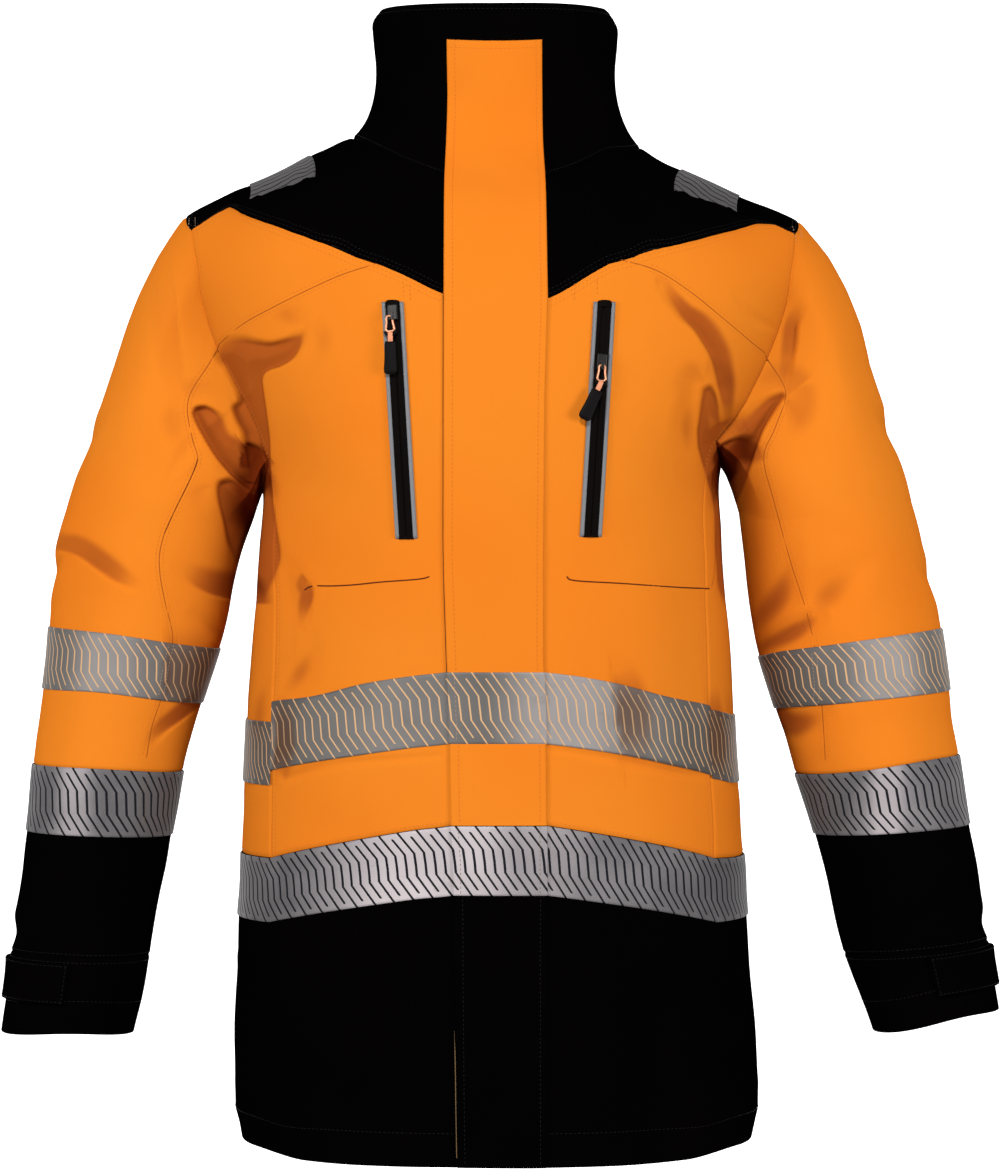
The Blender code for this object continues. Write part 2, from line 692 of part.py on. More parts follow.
def zip_frame(zip_row, share):
    """A frame on a zip: X across, -Y out of the cloth, Z up along the zip."""
    _, top_x, top_z, foot_x, foot_z, _, _ = zip_row
    places = []
    for at in (share, share + 0.05):
        across, height = abs(mix(top_x, foot_x, at)), mix(top_z, foot_z, at)
        row = [body_spot(angle_at(across, height), height)]
        places.append((mirrored(row) if top_x < 0 else row)[0])
    (point, normal), (below, _) = places
    up = (point - below).normalized()
    up = (up - normal * up.dot(normal)).normalized()
    right = up.cross(normal)
    frame = Matrix((right, -normal, up)).transposed().to_4x4()
    frame.translation = point + normal * ZIP_FACE
    if right.x < 0:
        frame = frame @ Matrix.Rotation(math.pi, 4, "Y")
    return frame


ZIP_LOW = 0.0005            # offsets of a zip strip's faces from the cloth
ZIP_FACE = 0.0015
PIPING_FACE = 0.0023
SLIDER = (0.0076, 0.0026, 0.0120)        # across, thick, long
AXIS_OUT = 0.0046           # the pull's axis in front of the strip
BRIDGE = (0.0020, 0.0010, 0.0064)        # across, thick, long
BRIDGE_POST = 0.0012
LINK_WIRE = 0.0006
LINK = (  # half_across, down
    (0.0022, 0.0000), (0.0024, 0.0050), (0.0036, 0.0100), (0.0030, 0.0128), (0.0012, 0.0140),
)
NECK = (0.0034, 0.0018, 0.0070)          # the cord between link and tab
TAB = (0.0082, 0.0022, 0.0240)
REST_TILT = math.radians(3.0)


def box_mesh(name, size, place, bevel):
    """A box with rounded edges, as a mesh in its own frame."""
    bpy.ops.mesh.primitive_cube_add(size=1.0)
    obj = bpy.context.active_object
    obj.name = name
    obj.data.name = name
    obj.data.transform(Matrix.Translation(place) @ Matrix.Diagonal((*size, 1.0)))
    rounding = obj.modifiers.new("edges", "BEVEL")
    rounding.width = bevel
    rounding.segments = 2
    return obj


def settle(obj, collection, material, frame):
    for other in list(obj.users_collection):
        other.objects.unlink(obj)
    collection.objects.link(obj)
    obj.data.materials.clear()
    obj.data.materials.append(material)
    obj.matrix_world = frame


def slider(collection, cutters, name, frame, material):
    """The slider's body with the bridge that holds its pull."""
    across, thick, long = SLIDER
    body = box_mesh(name, (across, thick, long), (0, -thick / 2 - SEAM, 0.003), 0.0008)
    span_x, span_y, span_z = BRIDGE
    out = AXIS_OUT + LINK_WIRE + 0.0004 + span_y
    bridge = box_mesh(name + "_bridge", (span_x, out - thick / 2, span_z),
                      (0, -(out + thick / 2) / 2, 0.0), 0.0003)
    tunnel = box_mesh(name + "_tunnel", (span_x * 3, out - span_y - thick - SEAM, span_z - 2 * BRIDGE_POST),
                      (0, -(out - span_y + thick + SEAM) / 2, 0.0), 0.0003)
    for cutter in (bridge, tunnel):
        settle(cutter, cutters, material, frame)
        cutter.display_type = "WIRE"
        cutter.hide_render = True
    settle(body, collection, material, frame)
    joining = body.modifiers.new("bridge", "BOOLEAN")
    joining.operation = "UNION"
    joining.object = bridge
    cutting = body.modifiers.new("tunnel", "BOOLEAN")
    cutting.object = tunnel
    return body


def link(collection, name, frame, material):
    """The wire loop through the slider's bridge."""
    right = [(x, -z) for x, z in LINK]
    outline = right + [(-x, z) for x, z in reversed(right)]
    data = bpy.data.curves.new(name, "CURVE")
    data.dimensions = "3D"
    data.bevel_depth = LINK_WIRE
    data.bevel_resolution = 2
    spline = data.splines.new("POLY")
    spline.points.add(len(outline) - 1)
    for point, (x, z) in zip(spline.points, outline):
        point.co = (x, 0.0, z, 1.0)
    spline.use_cyclic_u = True
    data.materials.append(material)
    obj = bpy.data.objects.new(name, data)
    collection.objects.link(obj)
    obj.matrix_world = frame
    return obj


def pull(collection, name, hinge_frame, lean, materials):
    """Link, cord neck and rubber tab, all on the slider's bridge."""
    axis = bpy.data.objects.new("axis_" + name, None)
    collection.objects.link(axis)
    axis.matrix_world = hinge_frame
    rest = hinge_frame @ Matrix.Rotation(REST_TILT, 4, "X")
    pieces = [link(collection, "pull_link_" + name, rest, materials["metal"])]
    down = LINK[-1][1] + LINK_WIRE + SEAM
    swing = rest @ Matrix.Translation((0, 0, -down)) @ Matrix.Rotation(lean, 4, "Y")
    neck = box_mesh("pull_neck_" + name, NECK, (0, 0, -NECK[2] / 2 - 0.0002), 0.0006)
    settle(neck, collection, materials["copper"], swing)
    tab = box_mesh("pull_tab_" + name, TAB, (0, 0, -NECK[2] - 2 * SEAM - TAB[2] / 2), 0.0009)
    for vertex in tab.data.vertices:
        if vertex.co.z > -NECK[2] - TAB[2] / 2:
            vertex.co.x *= 0.62
    settle(tab, collection, materials["rubber"], swing)
    pieces += [neck, tab]
    for piece in pieces:
        piece.parent = axis
        piece.matrix_parent_inverse = axis.matrix_world.inverted()
    return pieces


# ---------------------------------------------------------------- assembly
def clear_scene():
    for obj in list(bpy.data.objects):
        bpy.data.objects.remove(obj, do_unlink=True)


def make_materials():
    return {
        "orange": finish_of("orange_cloth", ORANGE, 0.75),
        "black": finish_of("black_cloth", BLACK, 0.80),
        "tape": finish_of("reflective_tape", SILVER, 0.35, 0.3),
        "zip": finish_of("zip_tape", BLACK, 0.60),
        "metal": finish_of("pull_metal", COPPER, 0.40, 0.8),
        "slider": finish_of("slider_metal", BLACK, 0.35, 0.6),
        "copper": finish_of("pull_cord", COPPER, 0.70),
        "rubber": finish_of("pull_rubber", BLACK, 0.50),
    }


def tape(collection, name, rows, material, base=0.0, round_tube=False):
    low = base + LIFT
    return cloth(collection, name, rows, material, low, low + TAPE_WALL, round_tube)


def build_body(collection, finishes):
    half = SEAM / 2
    yoke, collar = yoke_half(), collar_half()
    front, side, back = front_grid(), side_grid(), back_grid()
    skirt_front, skirt_back = skirt_grids()
    black, orange, silver = finishes["black"], finishes["orange"], finishes["tape"]
    cloth(collection, "collar", inset(whole_loop(collar), top=half, start=half, end=half), black)
    cloth(collection, "yoke", inset(whole_loop(yoke), half, half, half, half), black)

    fronts = {"right": [mirrored(row) for row in front], "left": front}
    sides = {"right": [mirrored(row) for row in side], "left": side}
    skirts = {"right": [mirrored(row) for row in skirt_front], "left": skirt_front}
    waist = [row[0] for row in FRONT_ROWS].index("waist_tape_top")
    edge = 2
    for name in ("right", "left"):
        grid = fronts[name]
        cloth(collection, "front_" + name, inset(grid, half, half, half, half), orange)
        strip = [row[edge:] for row in grid[waist:waist + 2]]
        strip = inset(strip, start=0.0012, end=half)
        tape(collection, "waist_tape_front_" + name, strip, silver)
        grid = sides[name]
        cloth(collection, "side_" + name, inset(grid, half, half, half, half), orange)
        top = waist - 6
        rows = [between_rows(grid, top + SIDE_TAPE_DROP), grid[top + 1],
                between_rows(grid, top + 1 + SIDE_TAPE_DROP * 1.5)]
        tape(collection, "waist_tape_side_" + name, inset(rows, start=half, end=half), silver)
        grid = skirts[name]
        cloth(collection, "skirt_front_" + name, inset(grid, half, 0.0, half, half), black)
        strip = inset([row[edge:] for row in grid[:2]], top=half, start=0.0012, end=half)
        tape(collection, "hip_tape_front_" + name, strip, silver)

    def both(grid):
        return [mirrored(list(reversed(row))) + row[1:] for row in grid]

    whole_back, whole_skirt = both(back), both(skirt_back)
    cloth(collection, "back", inset(whole_back, half, half, half, half), orange)
    waist_back = [row[0] for row in BACK_ROWS].index("waist_tape_top")
    strip = inset(whole_back[waist_back:waist_back + 2], start=half, end=half)
    tape(collection, "waist_tape_back", strip, silver)
    cloth(collection, "skirt_back", inset(whole_skirt, half, 0.0, half, half), black)
    tape(collection, "hip_tape_back", inset(whole_skirt[:2], top=half, start=half, end=half), silver)

    build_placket(collection, finishes, collar, yoke, front, skirt_front)
    return armhole_loop(yoke, front, side, back)


def build_placket(collection, finishes, collar, yoke, front, skirt):
    """The flap over the front zip, on the points of what lies under it."""
    def both(row):
        return mirrored(list(reversed(row[1:3]))) + row[:3]

    rows = [both(row) for row in reversed(collar[1:PLACKET_TOP_ROW + 1])]
    rows.append(both([(a[0] + (a[1] + b[1]) * LIFT, (a[1] + b[1]).normalized())
                      for a, b in zip(yoke[0], collar[0])]))
    rows += [both(row) for row in yoke[1:]]
    rows += [both(row) for row in front[1:]]
    low, high = LIFT, LIFT + WALL
    upper = inset(rows, foot=SEAM / 2)
    cloth(collection, "placket_upper", upper, finishes["orange"], low, high)
    lower = inset([both(row) for row in skirt], top=SEAM / 2)
    cloth(collection, "placket_lower", lower, finishes["black"], low, high)
    waist = len(rows) - 4
    tape(collection, "waist_tape_placket", rows[waist:waist + 2], finishes["tape"], high)
    tape(collection, "hip_tape_placket", inset(lower[:2], top=SEAM / 2), finishes["tape"], high)


def build_sleeve(collection, finishes, name, stations, loop):
    rings = sleeve_rings(stations, loop)
    if name == "right":
        rings = [mirrored(row) for row in rings]
    names = [station[0] for station in stations]
    before = len(CAP_RINGS) - 1

    def at(station):
        return before + names.index(station)

    half = SEAM / 2
    upper = inset(rings[:at("tape_2_top") + 1], foot=half)
    lower = inset(rings[at("tape_2_top"):at("cuff_seam") + 1], half, half)
    cuff = inset(rings[at("cuff_seam"):], top=half)
    cloth(collection, "sleeve_" + name, upper, finishes["orange"], round_tube=True)
    cloth(collection, "lower_sleeve_" + name, lower, finishes["black"], round_tube=True)
    cloth(collection, "cuff_" + name, cuff, finishes["black"], round_tube=True)
    for number in (1, 2):
        first = at(f"tape_{number}_top")
        strip = inset(rings[first:first + 2], top=half)
        tape(collection, f"sleeve_tape_{number}_{name}", strip, finishes["tape"], round_tube=True)
    first = at("cuff_seam")
    start, end = CUFF_TAB_REACH
    tab_rows = [between_rows(rings, first + 0.12), rings[first + 1],
                between_rows(rings, first + 1.22)]
    tab = [row[-2:] + row[start:end] for row in tab_rows]
    cloth(collection, "cuff_tab_" + name, tab, finishes["black"], TAB_LIFT, TAB_LIFT + WALL)


def build_shoulder_tapes(collection, finishes):
    """A reflective band over each shoulder."""
    for name in ("right", "left"):
        rows = []
        for j in range(5):
            across = mix(SHOULDER_TAPE_NEAR, SHOULDER_TAPE_FAR, j / 4)
            row = []
            for k in range(11):
                turn = mix(-SHOULDER_TAPE_BACK, SHOULDER_TAPE_FRONT, k / 10)
                row.append(shoulder_spot(-1, across, turn))
            rows.append(mirrored(row) if name == "right" else row)
        cloth(collection, "shoulder_tape_" + name, rows, finishes["tape"],
              SHOULDER_TAPE_LIFT, SHOULDER_TAPE_LIFT + TAPE_WALL)


def build_zips(collection, cutters, finishes):
    for zip_row in ZIPS:
        name, slider_share, lean = zip_row[0], zip_row[5], math.radians(zip_row[6])
        strip = zip_strip(zip_row, -ZIP_HALF, ZIP_HALF, ZIP_LOW, ZIP_FACE, 2)
        cloth(collection, "zip_strip_" + name, strip, finishes["zip"], ZIP_LOW, ZIP_FACE)
        for place, near, far in (("minus", -PIPING_FAR, -PIPING_NEAR),
                                 ("plus", PIPING_NEAR, PIPING_FAR)):
            grid = zip_strip(zip_row, near, far, ZIP_LOW, PIPING_FACE, 1)
            cloth(collection, f"zip_piping_{place}_{name}", grid, finishes["tape"],
                  ZIP_LOW, PIPING_FACE)
        frame = zip_frame(zip_row, slider_share)
        slider(collection, cutters, "slider_" + name, frame, finishes["slider"])
        hinge = frame @ Matrix.Translation((0, -AXIS_OUT, 0))
        pull(collection, name, hinge, lean, finishes)


def build_jacket():
    clear_scene()
    jacket = bpy.data.collections.new("hi_vis_work_jacket")
    cutters = bpy.data.collections.new("cutters")
    bpy.context.scene.collection.children.link(jacket)
    bpy.context.scene.collection.children.link(cutters)
    finishes = make_materials()
    loop = build_body(jacket, finishes)
    build_sleeve(jacket, finishes, "right", SLEEVE_RIGHT, loop)
    build_sleeve(jacket, finishes, "left", SLEEVE_LEFT, loop)
    build_shoulder_tapes(jacket, finishes)
    build_zips(jacket, cutters, finishes)


build_jacket()
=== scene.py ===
"""Hi-vis work jacket: cloth, reflective tapes, seams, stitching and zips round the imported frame.

Metres, +Z up. The front faces -Y and the wearer's left is +X, as in the frame.
"""

import json
import math

import bpy
import numpy as np
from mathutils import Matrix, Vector
from mathutils.bvhtree import BVHTree


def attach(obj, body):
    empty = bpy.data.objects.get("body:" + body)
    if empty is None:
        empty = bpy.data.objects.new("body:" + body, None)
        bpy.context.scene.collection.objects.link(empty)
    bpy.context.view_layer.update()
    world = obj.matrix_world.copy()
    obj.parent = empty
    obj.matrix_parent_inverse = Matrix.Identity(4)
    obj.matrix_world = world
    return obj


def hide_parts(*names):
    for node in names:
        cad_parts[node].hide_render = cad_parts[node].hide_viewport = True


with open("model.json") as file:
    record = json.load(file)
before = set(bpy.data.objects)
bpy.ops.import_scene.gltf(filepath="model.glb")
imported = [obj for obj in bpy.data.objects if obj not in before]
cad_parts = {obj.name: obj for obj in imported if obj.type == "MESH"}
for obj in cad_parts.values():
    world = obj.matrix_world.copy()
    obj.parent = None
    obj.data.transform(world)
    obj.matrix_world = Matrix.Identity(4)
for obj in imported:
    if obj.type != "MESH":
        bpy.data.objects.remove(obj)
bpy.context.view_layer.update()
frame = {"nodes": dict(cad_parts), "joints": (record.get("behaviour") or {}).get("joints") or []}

# ---------------- sizes of the jacket (metres)
PLACKET_HALF = 0.0385       # half width of the flap over the front zip
NECK_HALF = 0.112          # half width of the neck seam
NECK_FRONT = 0.106         # from the middle to the neck seam in front
NECK_BACK = 0.082          # and behind
COLLAR_TOP = 0.1075
COLLAR_DIP = 0.005
ACROSS_POWER = 2.4          # squareness of the body's cross-section
DEPTH_POWER = 2.2
ROLL = 0.08                # height over which the shoulders round away
UNDERARM = -0.262
SIDE_CORNER = -0.24
SHOULDER_LINE = np.array((  # across, height
    (0.0000, 0.016), (0.06, 0.015), (0.112, 0.0085), (0.134, -0.004), (0.1744, -0.0234),
    (0.2087, -0.039), (0.2364, -0.0546), (0.26, -0.074),
))
BODY_SECTIONS = np.array((  # height, half_width, front, back
    (-0.78, 0.205, 0.148, 0.139), (-0.663, 0.2005, 0.146, 0.135), (-0.545, 0.1945, 0.143, 0.13),
    (-0.43, 0.1885, 0.141, 0.127), (-0.33, 0.1825, 0.144, 0.131), (-0.27, 0.1795, 0.146, 0.138),
    (-0.235, 0.187, 0.146, 0.142), (-0.2, 0.205, 0.144, 0.143), (-0.158, 0.224, 0.139, 0.141),
    (-0.1, 0.243, 0.129, 0.132), (-0.05, 0.256, 0.116, 0.116), (0.03, 0.262, 0.092, 0.086),
))
ARMHOLE_FRONT = np.array((  # height, across
    (-0.24, 0.1745), (-0.22, 0.183), (-0.199, 0.193), (-0.1575, 0.2125), (-0.1234, 0.223),
    (-0.095, 0.2262), (-0.0668, 0.2305),
))
ARMHOLE_BACK = np.array((  # height, across
    (-0.24, 0.1745), (-0.215, 0.193), (-0.185, 0.21), (-0.15, 0.223), (-0.115, 0.2285), (-0.085, 0.23),
))
SIDE_SEAM_ANGLE = np.array((  # height, degrees
    (-0.56, 33.0), (-0.45, 32.0), (-0.3, 26.0), (-0.24, 22.0),
))
YOKE_FRONT = np.array((  # neck_angle, outer_across, outer_height
    (90.0, 0.0000, -0.122), (80.3, 0.0193, -0.122), (70.1, 0.0385, -0.122), (60.0, 0.068, -0.108),
    (48.0, 0.099, -0.0936), (37.0, 0.128, -0.078), (27.0, 0.155, -0.066), (18.0, 0.179, -0.0585),
    (10.0, 0.2015, -0.054), (5.0, 0.2305, -0.0668),
))
YOKE_TIP = (0.0, 0.2364, -0.0546)
YOKE_BACK = np.array((  # neck_angle, outer_across, outer_height
    (6.0, 0.235, -0.064), (12.0, 0.23, -0.085), (24.0, 0.196, -0.088), (36.0, 0.156, -0.092),
    (49.0, 0.115, -0.096), (62.0, 0.074, -0.0985), (76.0, 0.036, -0.1), (90.0, 0.0000, -0.1),
))
COLLAR_ROWS = np.array((  # share_of_height, share_of_width
    (0.00, 1.000), (0.15, 0.91), (0.34, 0.855), (0.55, 0.832), (0.79, 0.848), (0.91, 0.852),
    (1.00, 0.8),
))
PLACKET_TOP_ROW = 4         # the collar row that the placket reaches
PLACKET_COLUMNS = 2         # columns of each half that lie under the placket
PLACKET_ACROSS = 13
PLACKET_ROUNDS = 40         # of evening out where it passes from collar to yoke to front
FRONT_ROWS = np.array((  # height_centre, height_edge
    (-0.122, -0.0668), (-0.148, -0.095), (-0.175, -0.1234), (-0.205, -0.1575), (-0.235, -0.199),
    (-0.258, -0.22), (-0.28, -0.24), (-0.32, -0.29), (-0.362, -0.352), (-0.404, -0.4265),
    (-0.4575, -0.48), (-0.488, -0.513), (-0.518, -0.546),
))
BACK_ROWS = np.array((  # height_centre, height_edge
    (-0.1, -0.085), (-0.135, -0.115), (-0.17, -0.15), (-0.205, -0.185), (-0.235, -0.215),
    (-0.265, -0.24), (-0.305, -0.29), (-0.358, -0.352), (-0.422, -0.4265), (-0.475, -0.48),
    (-0.509, -0.513), (-0.543, -0.546),
))
SKIRT_ROWS = np.array((  # height_centre, height_edge, height_back
    (-0.518, -0.546, -0.543), (-0.57, -0.595, -0.595), (-0.635, -0.65, -0.65), (-0.7, -0.708, -0.708),
    (-0.766, -0.766, -0.766),
))
FRONT_WAIST = 9             # row of the waist tape's top edge
BACK_WAIST = 8
SIDE_CORNER_ROW = 6         # row of the front where the side panel starts
SIDE_TAPE_DROP = {"right": 0.27, "left": 0.05}
SLEEVE_RIGHT = np.array((  # height, outer, inner, depth, middle_y, tilt_degrees
    (-0.285, 0.3345, 0.1905, 0.15, 0.002, 8.0), (-0.308, 0.341, 0.1975, 0.15, 0.001, 8.0),
    (-0.33, 0.345, 0.2035, 0.149, 0.000, 8.0), (-0.355, 0.3465, 0.2085, 0.146, -0.002, 8.0),
    (-0.38, 0.349, 0.215, 0.143, -0.005, 7.0), (-0.4255, 0.354, 0.229, 0.137, -0.009, 5.0),
    (-0.452, 0.357, 0.2365, 0.133, -0.011, 4.0), (-0.4805, 0.3605, 0.2435, 0.13, -0.014, 3.0),
    (-0.5305, 0.366, 0.2525, 0.124, -0.018, 2.0), (-0.58, 0.372, 0.2607, 0.117, -0.022, 2.0),
    (-0.623, 0.378, 0.268, 0.11, -0.025, 2.0), (-0.652, 0.3815, 0.2727, 0.106, -0.028, 2.0),
    (-0.6845, 0.385, 0.2785, 0.102, -0.03, 1.5),
))
SLEEVE_LEFT = np.array((  # height, outer, inner, depth, middle_y, tilt_degrees
    (-0.285, 0.3285, 0.189, 0.15, 0.002, 8.0), (-0.308, 0.3345, 0.193, 0.15, 0.001, 8.0),
    (-0.33, 0.339, 0.196, 0.149, 0.000, 8.0), (-0.355, 0.344, 0.2, 0.146, -0.002, 8.0),
    (-0.382, 0.349, 0.205, 0.143, -0.005, 7.7), (-0.4275, 0.3545, 0.2165, 0.137, -0.009, 5.5),
    (-0.452, 0.357, 0.2245, 0.133, -0.011, 5.0), (-0.4805, 0.3625, 0.2325, 0.13, -0.014, 4.2),
    (-0.528, 0.371, 0.247, 0.124, -0.018, 3.7), (-0.58, 0.379, 0.2605, 0.117, -0.022, 4.5),
    (-0.618, 0.385, 0.2715, 0.111, -0.025, 5.5), (-0.647, 0.389, 0.281, 0.107, -0.028, 6.5),
    (-0.676, 0.3925, 0.2915, 0.102, -0.03, 7.5),
))
# Rows of the sleeve's form, which has its cap from 0 to 1.
SLEEVE_TAPE_1, SLEEVE_TAPE_2, CUFF_ROW, SLEEVE_END = 5, 8, 11, 13
TAB_ROWS, TAB_AROUND = (11.12, 12.22), (-0.07, 0.235)
CAP_PULLS = (0.5, 0.95)     # how strongly the cap holds its way at the armhole and at the sleeve
CAP_START = np.array((0.76, 0.0, -0.65))
CAP_UNDER = np.array((0.3, 0.0, -0.95))
CAP_END = np.array((0.33, 0.0, -0.944))
ZIPS = {  # wearer's side: top_across, top_height, foot_across, foot_height, slider_share
    "right": (-0.0765, -0.13, -0.0661, -0.3036, 0.055),
    "left": (0.0814, -0.13, 0.071, -0.3021, 0.27),
}
PIPING_NEAR = 0.005
PIPING_FAR = 0.0083

# Thickness and lift of what lies on the cloth.
PLACKET_LIFT = 0.0008
PLACKET_THICK = 0.0014
TAPE_THICK = 0.0008
TAB_THICK = 0.0024
CLOTH_STEP = 0.0032         # spacing of the cloth's points
LINING_STEP = 0.0065
FINE_STEP = 0.0022          # and on the pieces with crisp folds
DENSE_STEP = 0.0013         # and right at those folds
THREAD = 0.0003            # radius of a sewing thread
STITCH = 0.0034             # from one stitch to the next
STITCH_GAP = 0.0008
EVEN_ROUNDS = 3             # of evening out a line on the cloth
STITCH_SHARES = (0.0, 0.22, 0.78, 1.0)      # a stitch's two ends and where it is thick


# ---------------- numbers between known ones
def smooth(places, values, at):
    """Smooth values between known ones, which stay the same beyond the ends."""
    places = np.asarray(places, float)
    values = np.asarray(values, float)
    at = np.clip(at, places[0], places[-1])
    last = len(places) - 1
    low = np.clip(np.searchsorted(places, at, side="right") - 1, 0, last - 1)
    index = np.arange(last + 1)
    before, after = np.maximum(index - 1, 0), np.minimum(index + 1, last)
    slopes = (values[after] - values[before]) / (places[after] - places[before])
    span = places[low + 1] - places[low]
    t = (at - places[low]) / span
    return (values[low] * (2 * t**3 - 3 * t**2 + 1) + slopes[low] * span * (t**3 - 2 * t**2 + t)
            + values[low + 1] * (3 * t**2 - 2 * t**3) + slopes[low + 1] * span * (t**3 - t**2))


def mix(a, b, share):
    return a + (b - a) * share


def ease(low, high, at):
    """From 0 at low to 1 at high, softly."""
    t = np.clip((at - low) / (high - low), 0, 1)
    return t * t * (3 - 2 * t)


def unit(vectors):
    return vectors / np.maximum(np.linalg.norm(vectors, axis=-1, keepdims=True), 1e-12)


def looked_up(table, at, column=1):
    """Smooth values from a table that has the place in its first column."""
    return smooth(table[:, 0], table[:, column], at)


def straight(table, at, column=1):
    """The same along straight lines from row to row."""
    return np.interp(at, table[:, 0], table[:, column])


def lengths_along(line):
    """How far along a line each of its points is."""
    return np.r_[0, np.cumsum(np.linalg.norm(np.diff(line, axis=0), axis=1))]


def places_along(line, known, at):
    """Points between the line's own, whose known places are given."""
    return np.stack([np.interp(at, known, line[:, i]) for i in range(line.shape[1])], axis=-1)


def rounded(path, index):
    """Points of a path whose corners are rounded, by their place in it."""
    return np.stack([smooth(np.arange(len(path)), path[:, i], index) for i in range(path.shape[1])],
                    axis=-1)


def path_points(path, size):
    """Points in metres from a row of millimetres."""
    return np.array(path, float).reshape(-1, size) / 1000


def alike(a, b):
    """Two values or arrays as arrays of one shape."""
    return np.broadcast_arrays(np.asarray(a, float), np.asarray(b, float))


def points(x, y, z):
    return np.stack(np.broadcast_arrays(x, y, z), axis=-1).astype(float)


# ---------------- the body's form
def half_width(z):
    return looked_up(BODY_SECTIONS, z)


def body_depth(side, x, z):
    """From the middle to the cloth, in front (side -1) or behind (side 1)."""
    front, back = looked_up(BODY_SECTIONS, z, 2), looked_up(BODY_SECTIONS, z, 3)
    ratio = np.minimum(np.abs(x) / half_width(z), 1)
    return np.where(side < 0, front, back) * (1 - ratio**ACROSS_POWER) ** (1 / DEPTH_POWER)


def over_shoulder(side, x, turn):
    """Points by how far they have turned down from the shoulder line, in radians."""
    top = looked_up(SHOULDER_LINE, np.abs(x))
    flat = np.minimum(turn, math.pi / 2)
    z = top - ROLL * (1 - np.cos(flat)) - ROLL * np.maximum(turn - math.pi / 2, 0)
    return points(x, side * body_depth(side, x, z) * np.sin(flat), z)


def turn_at(x, z):
    fallen = (looked_up(SHOULDER_LINE, np.abs(x)) - z) / ROLL
    return np.where(fallen <= 1, np.arccos(np.clip(1 - fallen, -1, 1)), math.pi / 2 + fallen - 1)


def on_body(side, x, z):
    return over_shoulder(side, x, turn_at(x, z))


def across_at(angle, z):
    return half_width(z) * np.abs(np.cos(angle)) ** (2 / ACROSS_POWER)


def angle_at(x, z):
    return np.arccos(np.minimum(np.abs(x) / half_width(z), 1) ** (ACROSS_POWER / 2))


def seam_angle(z):
    return np.radians(looked_up(SIDE_SEAM_ANGLE, z))


def edge_across(armhole, z):
    """X of a panel's outer edge: the armhole above the side panel, the side seam below."""
    return np.where(z > SIDE_CORNER + 1e-6, looked_up(armhole, z), across_at(seam_angle(z), z))


def rows_at(table, t, column):
    return smooth(np.arange(len(table)), table[:, column], t)


# Each form below gives the cloth's points by row t and column k, for the wearer's left (+X).
FRONT_COLUMNS = len(YOKE_FRONT) - 1
BACK_COLUMNS = len(YOKE_BACK) - 2
SIDE_COLUMNS = 6
SKIRT_FRONT_COLUMNS = FRONT_COLUMNS + SIDE_COLUMNS // 2     # the skirt goes on to the side's middle
SKIRT_BACK_COLUMNS = BACK_COLUMNS + SIDE_COLUMNS // 2
FRONT_LAST, BACK_LAST, SKIRT_LAST = len(FRONT_ROWS) - 1, len(BACK_ROWS) - 1, len(SKIRT_ROWS) - 1


def panel_below(t, k, table, armhole, side, first, last):
    """(x, z) of a front or back panel from its second row down."""
    share = np.clip((k - first) / (last - first), 0, 1)
    centre, edge = rows_at(table, t, 0), rows_at(table, t, 1)
    z = mix(centre, edge, share)
    start = angle_at(PLACKET_HALF, z) if side < 0 else math.pi / 2
    angle = mix(start, angle_at(edge_across(armhole, edge), edge), share)
    x = across_at(angle, z)
    if side < 0:
        x = np.where(k < first, PLACKET_HALF * k / first, x)
    return x, z


def front_form(t, k):
    t, k = alike(t, k)
    x, z = panel_below(np.maximum(t, 1), k, FRONT_ROWS, ARMHOLE_FRONT, -1, PLACKET_COLUMNS,
                       FRONT_COLUMNS)
    top_x, top_z = rows_at(YOKE_FRONT, k, 1), rows_at(YOKE_FRONT, k, 2)
    share = np.clip(t, 0, 1)
    return on_body(-1, mix(top_x, x, share), mix(top_z, z, share))


def back_form(t, k):
    t, k = alike(t, k)
    x, z = panel_below(np.maximum(t, 1), k, BACK_ROWS, ARMHOLE_BACK, 1, 0, BACK_COLUMNS)
    edge = YOKE_BACK[:0:-1]
    top_x, top_z = rows_at(edge, k, 1), rows_at(edge, k, 2)
    share = np.clip(t, 0, 1)
    return on_body(1, mix(top_x, x, share), mix(top_z, z, share))


def side_form(t, k):
    t, k = alike(t, k)
    place = 1 - 2 * k / SIDE_COLUMNS
    z = rows_at(FRONT_ROWS, np.maximum(t, 1) + SIDE_CORNER_ROW, 1)
    top = mix(UNDERARM, SIDE_CORNER, place**2)
    z = mix(top, z, np.clip(t, 0, 1))
    angle = seam_angle(z) * place
    return on_body(-np.sign(angle + 1e-12), across_at(np.abs(angle), z), z)


def skirt_front_form(t, k):
    t, k = alike(t, k)
    centre, edge = rows_at(SKIRT_ROWS, t, 0), rows_at(SKIRT_ROWS, t, 1)
    share = np.clip((k - PLACKET_COLUMNS) / (FRONT_COLUMNS - PLACKET_COLUMNS), 0, 1)
    z = mix(centre, edge, share)
    angle = mix(angle_at(PLACKET_HALF, z), seam_angle(edge), share)
    beyond = np.clip((k - FRONT_COLUMNS) / (SIDE_COLUMNS / 2), 0, 1)
    angle = angle * (1 - beyond)
    x = np.where(k < PLACKET_COLUMNS, PLACKET_HALF * k / PLACKET_COLUMNS, across_at(angle, z))
    return on_body(-1, x, z)


def skirt_back_form(t, k):
    t, k = alike(t, k)
    back, edge = rows_at(SKIRT_ROWS, t, 2), rows_at(SKIRT_ROWS, t, 1)
    share = np.clip(k / BACK_COLUMNS, 0, 1)
    z = mix(back, edge, share)
    beyond = np.clip((k - BACK_COLUMNS) / (SIDE_COLUMNS / 2), 0, 1)
    angle = mix(math.pi / 2, seam_angle(edge), share) * (1 - beyond)
    return on_body(1, across_at(angle, z), z)


